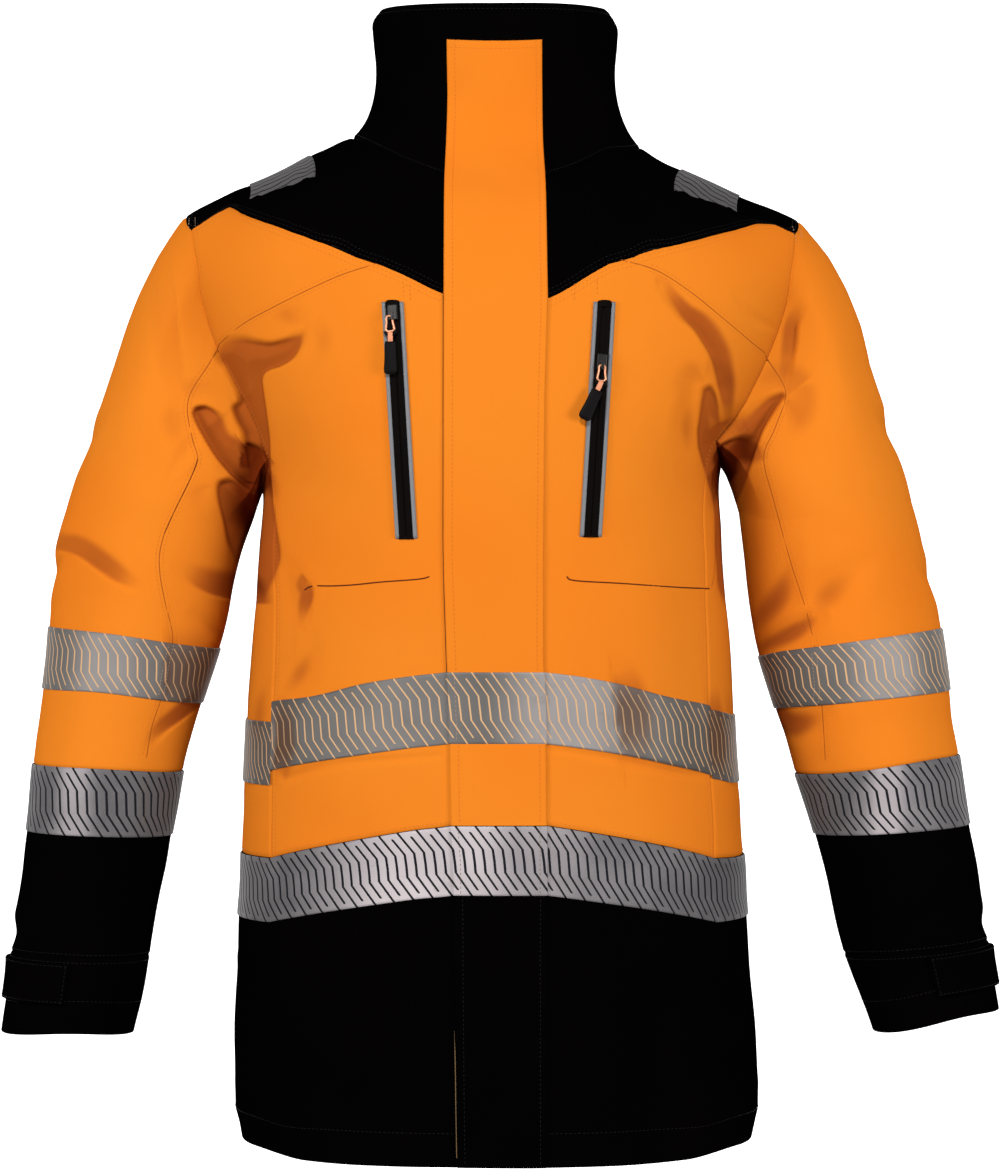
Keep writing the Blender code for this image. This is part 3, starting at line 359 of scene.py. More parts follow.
def neck_turn(x, out, side):
    """How far the neck seam has turned down at a distance from the middle in Y."""
    low, high = np.zeros_like(x), np.full_like(x, math.pi / 2)
    for _ in range(24):
        turn = (low + high) / 2
        short = np.abs(over_shoulder(side, x, turn)[..., 1]) < out
        low, high = np.where(short, turn, low), np.where(short, high, turn)
    return turn


YOKE_COLUMNS = np.vstack((YOKE_FRONT, YOKE_TIP, YOKE_BACK))
YOKE_SIDE = np.array([-1.0] * len(YOKE_FRONT) + [0.0] + [1.0] * len(YOKE_BACK))
YOKE_LAST = len(YOKE_COLUMNS) - 1


def yoke_form(share, k):
    """From the neck seam (0) to the yoke's edge (1), from centre front to centre back."""
    share, k = alike(share, k)
    index = np.arange(YOKE_LAST + 1)
    angle = np.radians(np.abs(smooth(index, YOKE_COLUMNS[:, 0] * np.where(YOKE_SIDE < 0, -1, 1), k)))
    side = np.where(k <= len(YOKE_FRONT), -1, 1)
    near_x = np.maximum(NECK_HALF * np.cos(angle), 1e-5)
    near_x = np.where(k < PLACKET_COLUMNS, PLACKET_HALF * k / PLACKET_COLUMNS,
                      mix(near_x, PLACKET_HALF, np.clip(PLACKET_COLUMNS + 1 - k, 0, 1)))
    near_x = np.minimum(near_x, NECK_HALF - 1e-7)
    reach = np.where(side < 0, NECK_FRONT, NECK_BACK)
    near_turn = neck_turn(near_x, reach * np.sqrt(1 - (near_x / NECK_HALF) ** 2), side) * side
    outer_turn = turn_at(YOKE_COLUMNS[:, 1], YOKE_COLUMNS[:, 2]) * YOKE_SIDE
    outer_x = smooth(index, YOKE_COLUMNS[:, 1], k)
    turn = mix(near_turn, smooth(index, outer_turn, k), share)
    x = mix(near_x, outer_x, share)
    return over_shoulder(np.where(turn < 0, -1, 1), x, np.abs(turn))


def collar_form(t, k):
    t, k = alike(t, k)
    seam = yoke_form(np.zeros_like(k), k)
    height, width = rows_at(COLLAR_ROWS, t, 0), rows_at(COLLAR_ROWS, t, 1)
    x, y = seam[..., 0], seam[..., 1]
    dip = np.where(y < 0, COLLAR_DIP * np.sqrt(np.maximum(1 - (x / NECK_HALF) ** 2, 0)), 0)
    pull = 1 - (1 - width) * np.abs(x) / NECK_HALF
    return points(x * pull, y * width**1.3, mix(seam[..., 2], COLLAR_TOP - dip, height))


def both_sides(form, last):
    """A form over both halves: k from -last on the wearer's right to last on the left."""
    def whole(t, k):
        found = form(t, np.minimum(np.abs(k), last))
        found[..., 0] *= np.where(np.broadcast_to(k, found.shape[:-1]) < 0, -1, 1)
        return found
    return whole


def mirrored(form):
    def other(t, k):
        found = form(t, k)
        found[..., 0] *= -1
        return found
    return other


def kept(form):
    return form


SIDES = (("right", mirrored), ("left", kept))


def upper_placket():
    """The placket's form from the collar to the hip seam."""
    k = np.linspace(-PLACKET_COLUMNS, PLACKET_COLUMNS, PLACKET_ACROSS)[None, :]
    grid = np.concatenate([
        both_sides(form, PLACKET_COLUMNS)(np.linspace(start, end, count)[:, None], k)
        for form, start, end, count in ((collar_form, PLACKET_TOP_ROW, 0.25, 30),
                                        (yoke_form, 0.04, 0.98, 40),
                                        (front_form, 0.05, FRONT_LAST, 120))])
    for _ in range(PLACKET_ROUNDS):
        grid[1:-1] = (grid[:-2] + 2 * grid[1:-1] + grid[2:]) / 4
    return laid(grid)


def lower_placket():
    """And from the hip seam to the hem."""
    k = np.linspace(-PLACKET_COLUMNS, PLACKET_COLUMNS, PLACKET_ACROSS)[None, :]
    return laid(both_sides(skirt_front_form, PLACKET_COLUMNS)(
        np.linspace(0, SKIRT_LAST, 80)[:, None], k))


def laid(grid):
    """A form on a dense grid of points: t and k run from 0 to 1."""
    rows, columns = grid.shape[0] - 1, grid.shape[1] - 1

    def form(t, k):
        t, k = np.broadcast_arrays(np.clip(t, 0, 1) * rows, np.clip(k, 0, 1) * columns)
        j, i = np.minimum(t.astype(int), rows - 1), np.minimum(k.astype(int), columns - 1)
        a, b = (t - j)[..., None], (k - i)[..., None]
        return (mix(grid[j, i], grid[j, i + 1], b) * (1 - a)
                + mix(grid[j + 1, i], grid[j + 1, i + 1], b) * a)
    return form


# ---------------- the sleeves' form
def armhole_loop():
    """The armhole of the +X side, down the front from the shoulder's end and up the back."""
    tip = float(len(YOKE_FRONT))
    t = np.linspace(0, SIDE_CORNER_ROW, 90)
    loop = [yoke_form(1.0, np.linspace(tip, tip - 1, 8)), front_form(t, FRONT_COLUMNS)[1:],
            side_form(0.0, np.linspace(0, SIDE_COLUMNS, 40))[1:],
            back_form(np.linspace(SIDE_CORNER_ROW - 1, 0, 80), BACK_COLUMNS)[1:],
            yoke_form(1.0, np.linspace(tip + 2, tip, 12))[1:]]
    loop = np.concatenate(loop)
    steps = lengths_along(loop)
    front = steps[np.argmin(loop[:, 2])]
    angles = np.where(steps <= front, math.pi * steps / front,
                      math.pi * (1 + (steps - front) / (steps[-1] - front)))
    even = np.linspace(0, steps[-1], 241)
    return places_along(loop, steps, even), np.interp(even, steps, angles)


LOOP, LOOP_ANGLES = armhole_loop()


def body_normals(at):
    """Outward normals of the body near some of its points."""
    side = np.where(at[..., 1] > 0, 1, -1)
    x = np.abs(at[..., 0])
    angle, z = angle_at(x, at[..., 2]), at[..., 2]

    def near(a, h):
        return on_body(side, across_at(a, h), h)

    step = 0.004
    along = near(angle + 0.02, z) - near(np.maximum(angle - 0.02, 0.001), z)
    down = near(angle, z + step) - near(angle, z - step)
    normal = unit(np.cross(along, down))
    flip = np.sign(np.sum(normal * (points(x, at[..., 1], z) - np.array((0, 0, -0.2))), axis=-1))
    normal = normal * flip[..., None]
    normal[..., 0] *= np.sign(at[..., 0] + 1e-12)
    return normal


def sleeve_form(stations):
    def ring(row, angle):
        z, outer, inner, depth, middle, tilt = (rows_at(stations, row, i) for i in range(6))
        across = np.cos(angle) * (outer - inner) / 2
        lean = np.radians(tilt)
        return points((outer + inner) / 2 + across * np.cos(lean), middle - depth / 2 * np.sin(angle),
                      z + across * np.sin(lean))

    def form(t, k):
        t, k = alike(t, k)
        place = np.mod(k, 1) * (len(LOOP) - 1)
        start = places_along(LOOP, np.arange(len(LOOP)), place)
        angle = np.interp(place, np.arange(len(LOOP)), LOOP_ANGLES)
        end = ring(np.zeros_like(t), angle)
        share = ((LOOP[:, 2].max() - start[..., 2]) / (LOOP[:, 2].max() - UNDERARM))[..., None]
        way = unit(mix(CAP_START, CAP_UNDER, share))
        reach = np.linalg.norm(end - start, axis=-1, keepdims=True)
        s = np.clip(t, 0, 1)[..., None]
        cap = (start * (2 * s**3 - 3 * s**2 + 1) + way * reach * CAP_PULLS[0] * (s**3 - 2 * s**2 + s)
               + end * (3 * s**2 - 2 * s**3) + CAP_END * reach * CAP_PULLS[1] * (s**3 - s**2))
        below = ring(np.maximum(t - 1, 0), angle)
        return np.where(t[..., None] < 1, cap, below)
    return form


SLEEVES = {"right": mirrored(sleeve_form(SLEEVE_RIGHT)), "left": sleeve_form(SLEEVE_LEFT)}


# ---------------- how the jacket hangs
# Height, then how far the wearer's right and left side hang over to the wearer's left. Millimetres.
BODY_HANG = np.array((
    (-10, 0, 0), (-50, -4, 0), (-115, -3.5, 0), (-150, -1.8, 0), (-200, 0, 0), (-240, -2, -4.5),
    (-276, -2.2, -5.2), (-306, -3, -4.5), (-351, -1.5, -5.2), (-426, -4.5, -3), (-500, -4.5, -1.5),
    (-577, -0.8, -3), (-650, -2.2, -0.8), (-725, -1.5, 2.2), (-744, 0, 0.5), (-755, 4, -3),
    (-770, 8, -7),
))[::-1] / 1000
SLEEVE_HANG = np.array((
    (0, 0, 0), (-30, -3, 0), (-66, -1, -1), (-84, -3.2, 4.5), (-108, -2.5, 5.3), (-138, -1.6, 4),
    (-168, -0.4, 0), (-200, 0, 0), (-260, 1.5, -3), (-276, 1.5, -5), (-306, 2.3, -3), (-336, 1.5, -0.8),
    (-396, 2.3, -2.3), (-456, 1, -3), (-517, 2.3, -4.6), (-577, 3.8, -4.6), (-640, 3.8, -4),
))[::-1] / 1000
SHOULDER_RISE = np.array((
    (-290, 0), (-240, 1), (-200, 3.5), (-140, 3.5), (-105, 0), (85, 0), (104, -7.5), (122, -10.5),
    (145, -8.5), (170, -7), (205, -5), (250, 0),
)) / 1000
HEM_DROP = 0.0045
# The gap inside a sleeve: its least distance, then its distance at a height and the change.
GAP_LEAST, GAP_ACROSS, GAP_HEIGHT, GAP_LEAN = 0.183, 0.194, -0.35, 0.14
# Between which places each part of the hang comes in or fades out.
ARM_EDGE, ARM_TOP, SLEEVE_INNER = (-0.006, 0.006), (-0.2, -0.24), (0.03, 0.09)
BODY_OUTER, PLACKET_EDGE = (0.1, 0.17), (0.045, 0.06)
RISE_BELOW, RISE_BEHIND = (-0.17, -0.07), (0.02, 0.1)
HEM_ABOVE, HEM_CORNER = (-0.66, -0.74), (0.15, 0.19)
PLACKET_HANG = np.array((
    (60, 0, -1.4), (21, 0, -1.4), (-124, 0, 0.7), (-200, 0, -1.5), (-320, 0, -2.5), (-395, 2.3, -2.5),
    (-440, 4.2, -0.6), (-514, 5.4, 0), (-545, 7.4, 0), (-670, 8.3, 0), (-766, 9.5, 0),
))[::-1] / 1000
YOKE_SLIP = np.array((
    (-205, 0), (-200, 1), (-190, -4.5), (-170, -8), (-150, -9.5), (-136, -8.6), (-115, -4.8), (-85, 0),
    (30, 0), (39, -3.5), (58, -2.7), (76, 0), (96, 2.6), (108, 4.8), (120, 4.8), (141, -0.7),
    (154, -3.5), (168, -4.5), (192, -5.5), (205, -3), (214, 0),
)) / 1000
SLIP_REACH = 0.04          # how far above and below the yoke's edge the cloth slips with it
ARM_BOWS = (    # side, across, half width, height, half height, rise of each local bow
    (-1, 0.3, 0.045, -0.425, 0.06, 0.0035), (1, 0.35, 0.055, -0.475, 0.026, 0.0055),
    (1, 0.18, 0.022, -0.27, 0.045, 0.0195), (-1, 0.325, 0.05, -0.69, 0.02, 0.006),
    (1, 0.37, 0.045, -0.68, 0.02, 0.008), (-1, 0.138, 0.028, -0.408, 0.028, -0.0045),
    (1, 0.14, 0.045, -0.412, 0.03, -0.0055), (1, 0.15, 0.05, -0.478, 0.025, -0.003),
    (1, 0.19, 0.018, -0.45, 0.07, -0.0095), (-1, 0.188, 0.016, -0.262, 0.03, -0.006),
)


def leaning(table, x, z):
    """How far a table moves points to the wearer's left, with its own column for each side."""
    return np.where(x < 0, straight(table, z, 1), straight(table, z, 2))


def hang(p):
    """Moves points of the jacket a few millimetres, because its two sides don't hang alike."""
    x, z = p[..., 0], p[..., 2]
    away, in_front = np.abs(x), p[..., 1] < 0
    edge = np.interp(away, YOKE_FRONT[:, 1], YOKE_FRONT[:, 2])
    slip = straight(YOKE_SLIP, x) * np.exp(-(((z - edge) / SLIP_REACH) ** 2))
    slid = on_body(-1, away, z + np.where(in_front, slip, 0)) - on_body(-1, away, z)
    slid[..., 0] = 0
    gap = np.maximum(GAP_LEAST, GAP_ACROSS - GAP_LEAN * (z - GAP_HEIGHT))
    arm = ease(*ARM_EDGE, away - gap) * ease(*ARM_TOP, z)
    aside = ease(*BODY_OUTER, away) * (1 - arm) * leaning(BODY_HANG, x, z)
    aside += ease(*SLEEVE_INNER, away - gap) * leaning(SLEEVE_HANG, x, z)
    along = np.minimum(away / PLACKET_HALF, 1) * (1 - ease(*PLACKET_EDGE, away))
    aside += along * np.where(in_front, leaning(PLACKET_HANG, x, z), 0)
    rise = straight(SHOULDER_RISE, x) * ease(*RISE_BELOW, z) * (1 - ease(*RISE_BEHIND, p[..., 1]))
    rise -= HEM_DROP * ease(*HEM_ABOVE, z) * (1 - ease(*HEM_CORNER, away))
    for way, across, wide, height, high, bow in ARM_BOWS:
        reach = ((x * way - across) / wide) ** 2 + ((z - height) / high) ** 2
        rise += bow * np.exp(-reach)
    return p + slid + np.stack((aside, np.zeros(x.shape), rise), axis=-1)


# ---------------- folds in the cloth
# Each fold: the side it is seen from, its kind, half width, then its path with the depth at each
# point. Millimetres. Front and back paths are (across, height, depth), the others (Y, height, depth).
# A crease drops off sharply on the left of its path and rises again over its width. A wave is soft.
FOLDS = (
    ("front", "crease", 40, (-177, -358, 0, -171, -344, 3, -166, -330, 5, -163, -317, 6, -166, -296, 7,
     -170, -273, 7, -173, -251, 8, -173, -230, 9, -175, -208, 9, -177, -191, 9, -177, -182, 9,
     -172, -177, 8, -162, -174, 8, -152, -168, 7, -145, -157, 5, -142, -146, 0, -149, -151, 3,
     -159, -155, 6, -170, -157, 6, -181, -155, 5, -192, -152, 4, -204, -152, 3, -211, -156, 2,
     -213, -164, 3, -210, -169, 4, -206, -173, 5, -201, -183, 5, -197, -192, 5, -196, -199, 5,
     -200, -204, 6, -197, -213, 6, -192, -223, 5, -191, -230, 3)),
    ("front", "crease", 30, (-200, -222, 0, -209, -211, 3, -217, -205, 6, -223, -203, 7, -229, -204, 8,
     -231, -208, 9, -228, -216, 9, -222, -227, 9, -214, -240, 9, -206, -250, 8, -199, -258, 8,
     -191, -264, 6, -184, -268, 3, -178, -270, 0)),
    ("front", "crease", 30, (-193, -260, 0, -202, -259, 4, -208, -260, 6, -211, -262, 7, -212, -267, 8,
     -211, -277, 9, -208, -291, 9, -206, -305, 8, -203, -317, 5, -202, -328, 0)),
    ("front", "crease", 18, (-176, -239, 0, -180, -235, 4, -184, -233, 6, -189, -231, 6, -193, -233, 4,
     -194, -237, 0)),
    ("front", "crease", 17, (-356, -311, 2, -334, -314, 2.6, -321, -317, 3, -304, -328, 3.2,
     -288, -338, 2.6, -269, -347, 0)),
    ("front", "crease", 24, (-244, -330, 0, -232, -340, 2.4, -221, -346, 3.4, -212, -349, 4,
     -203, -351, 4, -194, -352, 4)),
    ("front", "wave", 8, (-230, -362, 0, -220, -371, 2.4, -211, -380, 2.4)),
    ("front", "crease", 13, (-266, -466, 0, -253, -452, 3, -241, -443, 4, -231, -435, 4, -220, -427, 3)),
    ("front", "crease", 40, (-250, -368, 0, -251, -378, 2, -252, -396, 3, -254, -420, 3, -255, -432, 0)),
    ("front", "crease", 22, (-232, -218, 0, -237, -184, 1.3, -241, -150, 1.6, -246, -116, 1.5,
     -253, -90, 0.8, -257, -76, 0)),
    ("front", "wave", 6, (-230, -226, 0, -237, -238, 2.2, -247, -254, 0)),
    ("front", "wave", 14, (-158, -200, 0, -150, -237, 0.8, -150, -290, 0)),
    ("front", "wave", 9, (-168, -305, 0, -152, -343, 2.0, -156, -386, 0)),
    ("front", "crease", 18, (123, -116, 1, 130, -127, 3, 139, -138, 4, 149, -147, 7, 157, -159, 8,
     163, -170, 7, 167, -185, 6, 170, -200, 4, 171, -213, 0)),
    ("front", "crease", 36, (181, -300, 0, 184, -286, 3, 187, -275, 5, 191, -260, 7, 195, -247, 8,
     199, -235, 9, 204, -221, 9, 212, -207, 9, 218, -198, 8, 221, -195, 6, 219, -193, 5, 215, -194, 4,
     208, -197, 3, 201, -202, 2.5, 193, -208, 2.5, 186, -210, 2, 180, -209, 1.5, 176, -212, 2.5,
     171, -215, 5, 169, -211, 6, 168, -205, 7, 166, -197, 7, 164, -193, 6, 161, -190, 5, 157, -192, 5,
     156, -196, 6, 155, -204, 7, 154, -215, 8, 153, -223, 8, 154, -234, 8, 157, -243, 8, 161, -253, 7,
     165, -264, 6, 168, -273, 6, 170, -291, 6, 170, -310, 6, 170, -330, 5, 170, -339, 5, 172, -350, 3,
     174, -361, 0)),
    ("front", "crease", 26, (198, -229, 2, 196, -227, 3, 188, -226, 4, 181, -228, 6, 173, -232, 7,
     169, -238, 6, 167, -244, 3, 167, -251, 0)),
    ("front", "crease", 12, (221, -192, 0, 224, -183, 1.6, 230, -158, 3, 232, -141, 3.2, 237, -127, 1.5,
     240, -114, 0)),
    ("front", "wave", 4.5, (181, -120, 0, 187, -128, 1.0, 197, -137, 1.7, 209, -142, 1.2, 215, -143, 0)),
    ("front", "wave", 9, (149, -190, 0, 144, -220, 3, 148, -252, 0)),
    ("front", "wave", 9, (204, -389, 2, 213, -384, 4, 226, -377, 5, 238, -369, 4, 247, -363, 0)),
    ("front", "wave", 16, (292, -316, 0, 268, -334, 2, 250, -350, 3.2, 238, -359, 0)),
    ("front", "wave", 12, (200, -372, 2, 210, -360, 4, 219, -345, 4, 224, -328, 2, 228, -310, 0)),
    ("front", "wave", 14, (212, -436, 4, 226, -446, 5.5, 240, -443, 4, 249, -436, 0)),
    ("front", "crease", 13, (-142, -368, 0, -140, -358, 3, -138, -350, 4.6, -138, -343, 4,
     -141, -338, 1)),
    ("front", "wave", 11, (-157, -418, 1.5, -147, -405, 3.4, -139, -391, 1.6, -137, -380, 0)),
    ("front", "crease", 20, (-170, -420, 0, -168, -434, 2.5, -167, -452, 3.5, -169, -472, 3.5,
     -171, -486, 0)),
    ("front", "crease", 30, (86, -404, 0, 87, -412, 2.5, 88, -425, 3.5, 91, -447, 3.5, 94, -465, 2.5,
     96, -478, 0)),
    ("front", "crease", 15, (161, -412, 0, 161, -427, 2.5, 161, -447, 3.5, 163, -473, 3.5, 164, -488, 0)),
    ("front", "wave", 14, (-120, -428, 0, -90, -440, 1.6, -60, -453, 0)),
    ("front", "wave", 10, (-170, -396, 0, -182, -440, 3, -178, -490, 0)),
    ("front", "wave", 10, (171, -400, 0, 180, -440, 2.6, 176, -484, 0)),
    ("front", "wave", 4, (-159, -484, 2.6, -148, -481, 2.3, -112, -473, 1.5, -41, -466, 0.8)),
    ("front", "wave", 4, (39, -461, 0.8, 87, -469, 1.7, 137, -479, 2.5, 176, -485, 1.6)),
    ("front", "wave", 20, (-120, -560, 0, -126, -650, 2, -118, -760, 1)),
    ("front", "wave", 22, (110, -560, 0, 124, -650, 2, 120, -770, 1.6)),
    ("front", "wave", 12, (-300, -600, 0, -330, -615, 4, -358, -618, 0)),
    ("front", "wave", 10, (290, -605, 0, 330, -592, 3, 364, -596, 0)),
    ("back", "wave", 20, (-205, -150, 2, -170, -190, 4, -120, -212, 0)),
    ("back", "wave", 18, (205, -155, 2, 165, -186, 4, 125, -206, 0)),
    ("back", "crease", 22, (-96, -286, 0, -150, -262, 7, -190, -218, 3)),
    ("back", "crease", 20, (192, -224, 3, 142, -276, 7, 86, -302, 0)),
    ("back", "crease", 26, (74, -344, 0, -40, -356, 5, -132, -334, 0)),
    ("back", "wave", 16, (152, -324, 0, 84, -378, 4, 8, -392, 0)),
    ("back", "wave", 14, (-150, -400, 0, -162, -450, 3, -158, -524, 0)),
    ("back", "wave", 24, (-70, -560, 0, -84, -660, 3, -80, -770, 2)),
    ("back", "wave", 22, (92, -560, 0, 80, -650, 3, 96, -770, 2)),
    ("back", "crease", 18, (-226, -380, 2, -262, -364, 7, -302, -328, 0)),
    ("back", "crease", 18, (304, -334, 0, 262, -362, 7, 222, -392, 2)),
    ("back", "crease", 16, (-228, -248, 2, -262, -284, 6, -292, -298, 0)),
    ("back", "crease", 16, (294, -308, 0, 256, -286, 6, 230, -242, 2)),
    ("right", "wave", 12, (54, -316, 0, 0, -332, 3, -62, -298, 0)),
    ("right", "wave", 14, (-44, -196, 0, 10, -240, 2.5, 54, -252, 0)),
    ("left", "wave", 12, (-58, -314, 0, 5, -338, 3, 54, -306, 0)),
    ("left", "wave", 14, (-46, -188, 0, 0, -226, 2.5, 50, -246, 0)),
    ("right", "wave", 10, (-62, -594, 0, -20, -610, 3, 32, -600, 0)),
    ("left", "wave", 10, (-64, -588, 0, -16, -604, 3, 30, -596, 0)),
)
FOLD_LIP = 0.06             # the rounded bulge beside a crease, as a share of its depth
FOLD_SOFT = 0.3            # how softly a crease's far side ends
FOLD_BLEND = 0.005          # over which the depths along a fold's path even out
FOLD_SIDES = 0.2            # and its two sides where the path bends round, as a share of the distance
WAVE_SHADE = (0.0012, 0.0046)   # depths where the cloth's painted shade starts and is darkest
CREASE_SHADE = (0.0008, 0.004)
SHADE_END = (0.7, 1.15)    # where a crease's shade ends, as shares of its width
FOLD_DROP = 0.0011          # how far a crease takes to drop off
FOLD_SLOW = 4.5             # how much further where it is shallow
FOLD_NARROW = 0.35          # width of a fold where it is shallowest, as a share of its own
LIP_PLACE, LIP_WIDTH = 0.0045, 0.005
WAVE_RIM = (0.2, 1.7, 0.7)  # height, place and width of the rim beside a wave, as shares
FOLD_FACING = (0.05, 0.45)  # how far cloth has to face a fold's side for it to start and be full
SHADE_FACING = (-0.5, -0.15)
SIDE_FACING = 0.35          # and how much further for folds at the sides
SIDE_FROM = 0.2
FOLD_REACH = (3, 0.01)     # in widths and metres beyond a fold's path
DRIFT = 0.0011              # depth of the slow waves
ZIP_CLEAR = (0.01, 0.04)  # distances from a zip between which the folds come in
WAYS = {"front": (0.0, -1.0, 0.0), "back": (0.0, 1.0, 0.0), "left": (1.0, 0.0, 0.0),
        "right": (-1.0, 0.0, 0.0)}


def fold_height(place, fold):
    """Height of one fold at places (n, 2), and how shaded a hollow it makes there."""
    _, kind, width, path = fold
    path = path_points(path, 3)
    path = rounded(path, np.linspace(0, len(path) - 1, 6 * len(path) + 1))
    depths = np.maximum(path[:, 2], 0)
    way = np.diff(path[:, :2], axis=0)
    off = place[:, None] - path[None, :-1, :2]
    share = np.clip((off * way).sum(axis=-1) / (way**2).sum(axis=-1), 0, 1)
    off = off - share[..., None] * way
    away = np.linalg.norm(off, axis=-1)
    best = away.min(axis=1)
    weights = np.exp((best[:, None] - away) / FOLD_BLEND)
    depth = (weights * mix(depths[:-1], depths[1:], share)).sum(axis=1) / weights.sum(axis=1)
    scale = width / 1000 * (FOLD_NARROW + (1 - FOLD_NARROW) * depth / max(depths.max(), 1e-6))
    if kind == "wave":
        q = best / scale
        rim, place, wide = WAVE_RIM
        height = depth * (rim * np.exp(-(((q - place) / wide) ** 2)) - np.exp(-(q**2)))
        return height, ease(*WAVE_SHADE, -height)
    turn = way[:, 0] * off[..., 1] - way[:, 1] * off[..., 0]
    height, shade, total = 0, 0, 0
    for side in (1, -1):
        near = np.where(turn * side >= 0, away, 1.0).min(axis=1)
        weight = np.exp((best - near) / (FOLD_SIDES * best + 1e-5))
        q = side * near
        v = 1 - q / scale
        rise = np.where(v > FOLD_SOFT, v, np.maximum(v + FOLD_SOFT, 0) ** 2 / (4 * FOLD_SOFT))
        rise = np.minimum(rise, 1)
        soft = FOLD_DROP * (1 + FOLD_SLOW * (1 - depth / depths.max()))
        drop = ease(0, 1, (q / soft + 1) / 2)
        lip = FOLD_LIP * np.exp(-(((q + LIP_PLACE) / LIP_WIDTH) ** 2))
        dark = ease(*CREASE_SHADE, depth * drop) * (1 - ease(*SHADE_END, q / scale))
        height = height + weight * depth * (lip * (1 - drop) - rise * drop)
        shade = shade + weight * dark
        total = total + weight
    return height / total, shade / total


def facing(normals, side, limits):
    """How much of a fold seen from one side shows on cloth that faces this way."""
    more = 0.0 if side in ("front", "back") else SIDE_FACING
    return ease(limits[0] + more, limits[1] + more, normals @ np.array(WAYS[side]))


def drift(p):
    """Slow, shallow waves of the cloth."""
    x, y, z = p[:, 0], p[:, 1], p[:, 2]
    waves = (0.55 * np.sin(31 * x + 17 * z + 6 * np.sin(9 * z + 4 * y))
             + 0.45 * np.sin(-23 * x + 29 * z + 13 * y + 5 * np.sin(11 * x))
             + 0.35 * np.sin(47 * y - 19 * z + 12 * x)
             + 0.22 * np.sin(71 * x + 53 * z + 37 * y + 3 * np.sin(23 * z)))
    return DRIFT * waves


def cloth_shift(p, normals):
    """How the cloth stands out from its smooth form, nothing at the zips, and the painted shade of its
    folds' hollows.
    """
    total, painted_shade = normals * drift(p)[:, None], np.zeros(len(p))
    for fold in FOLDS:
        side, _, width, path = fold
        at_side = side in ("right", "left")
        share = facing(normals, side, SHADE_FACING)
        path = path_points(path, 3)[:, :2]
        place = p[:, (1, 2)] if at_side else p[:, (0, 2)]
        reach = width / 1000 * FOLD_REACH[0] + FOLD_REACH[1]
        near = ((share > 0) & np.all(place > path.min(0) - reach, axis=1)
                & np.all(place < path.max(0) + reach, axis=1))
        if at_side:
            near &= p[:, 0] * WAYS[side][0] > SIDE_FROM
        if near.any():
            height, shade = fold_height(place[near], fold)
            painted_shade[near] += shade * share[near]
            height *= facing(normals[near], side, FOLD_FACING)
            total[near] += height[:, None] * np.array(WAYS[side])
    front = p[:, 1] < 0
    for top_x, top_z, foot_x, foot_z, _ in ZIPS.values():
        along = np.clip((p[:, 2] - top_z) / (foot_z - top_z), 0, 1)
        away = np.hypot(p[:, 0] - mix(top_x, foot_x, along), p[:, 2] - mix(top_z, foot_z, along))
        total *= np.where(front, ease(*ZIP_CLEAR, away), 1)[:, None]
    return total, painted_shade


# ---------------- cloth from a form
SEAM_SINK = ((0.0009, 0.0012), (-0.00015, 0.0042))    # (depth, reach) of a seam's groove and its roll
LINING_GAP = 0.0032
LINING_DEEP = 0.0105
EDGE_STEPS = (0.0006, 0.0014, 0.0026)
ROUND_EDGE = 0.0012         # over which a raised edge rounds off
HEM_RADIUS = 0.0013
HEM_BACK = 0.028            # how far a hem is turned under
CUFF_BACK = 0.03           # and a cuff or the collar


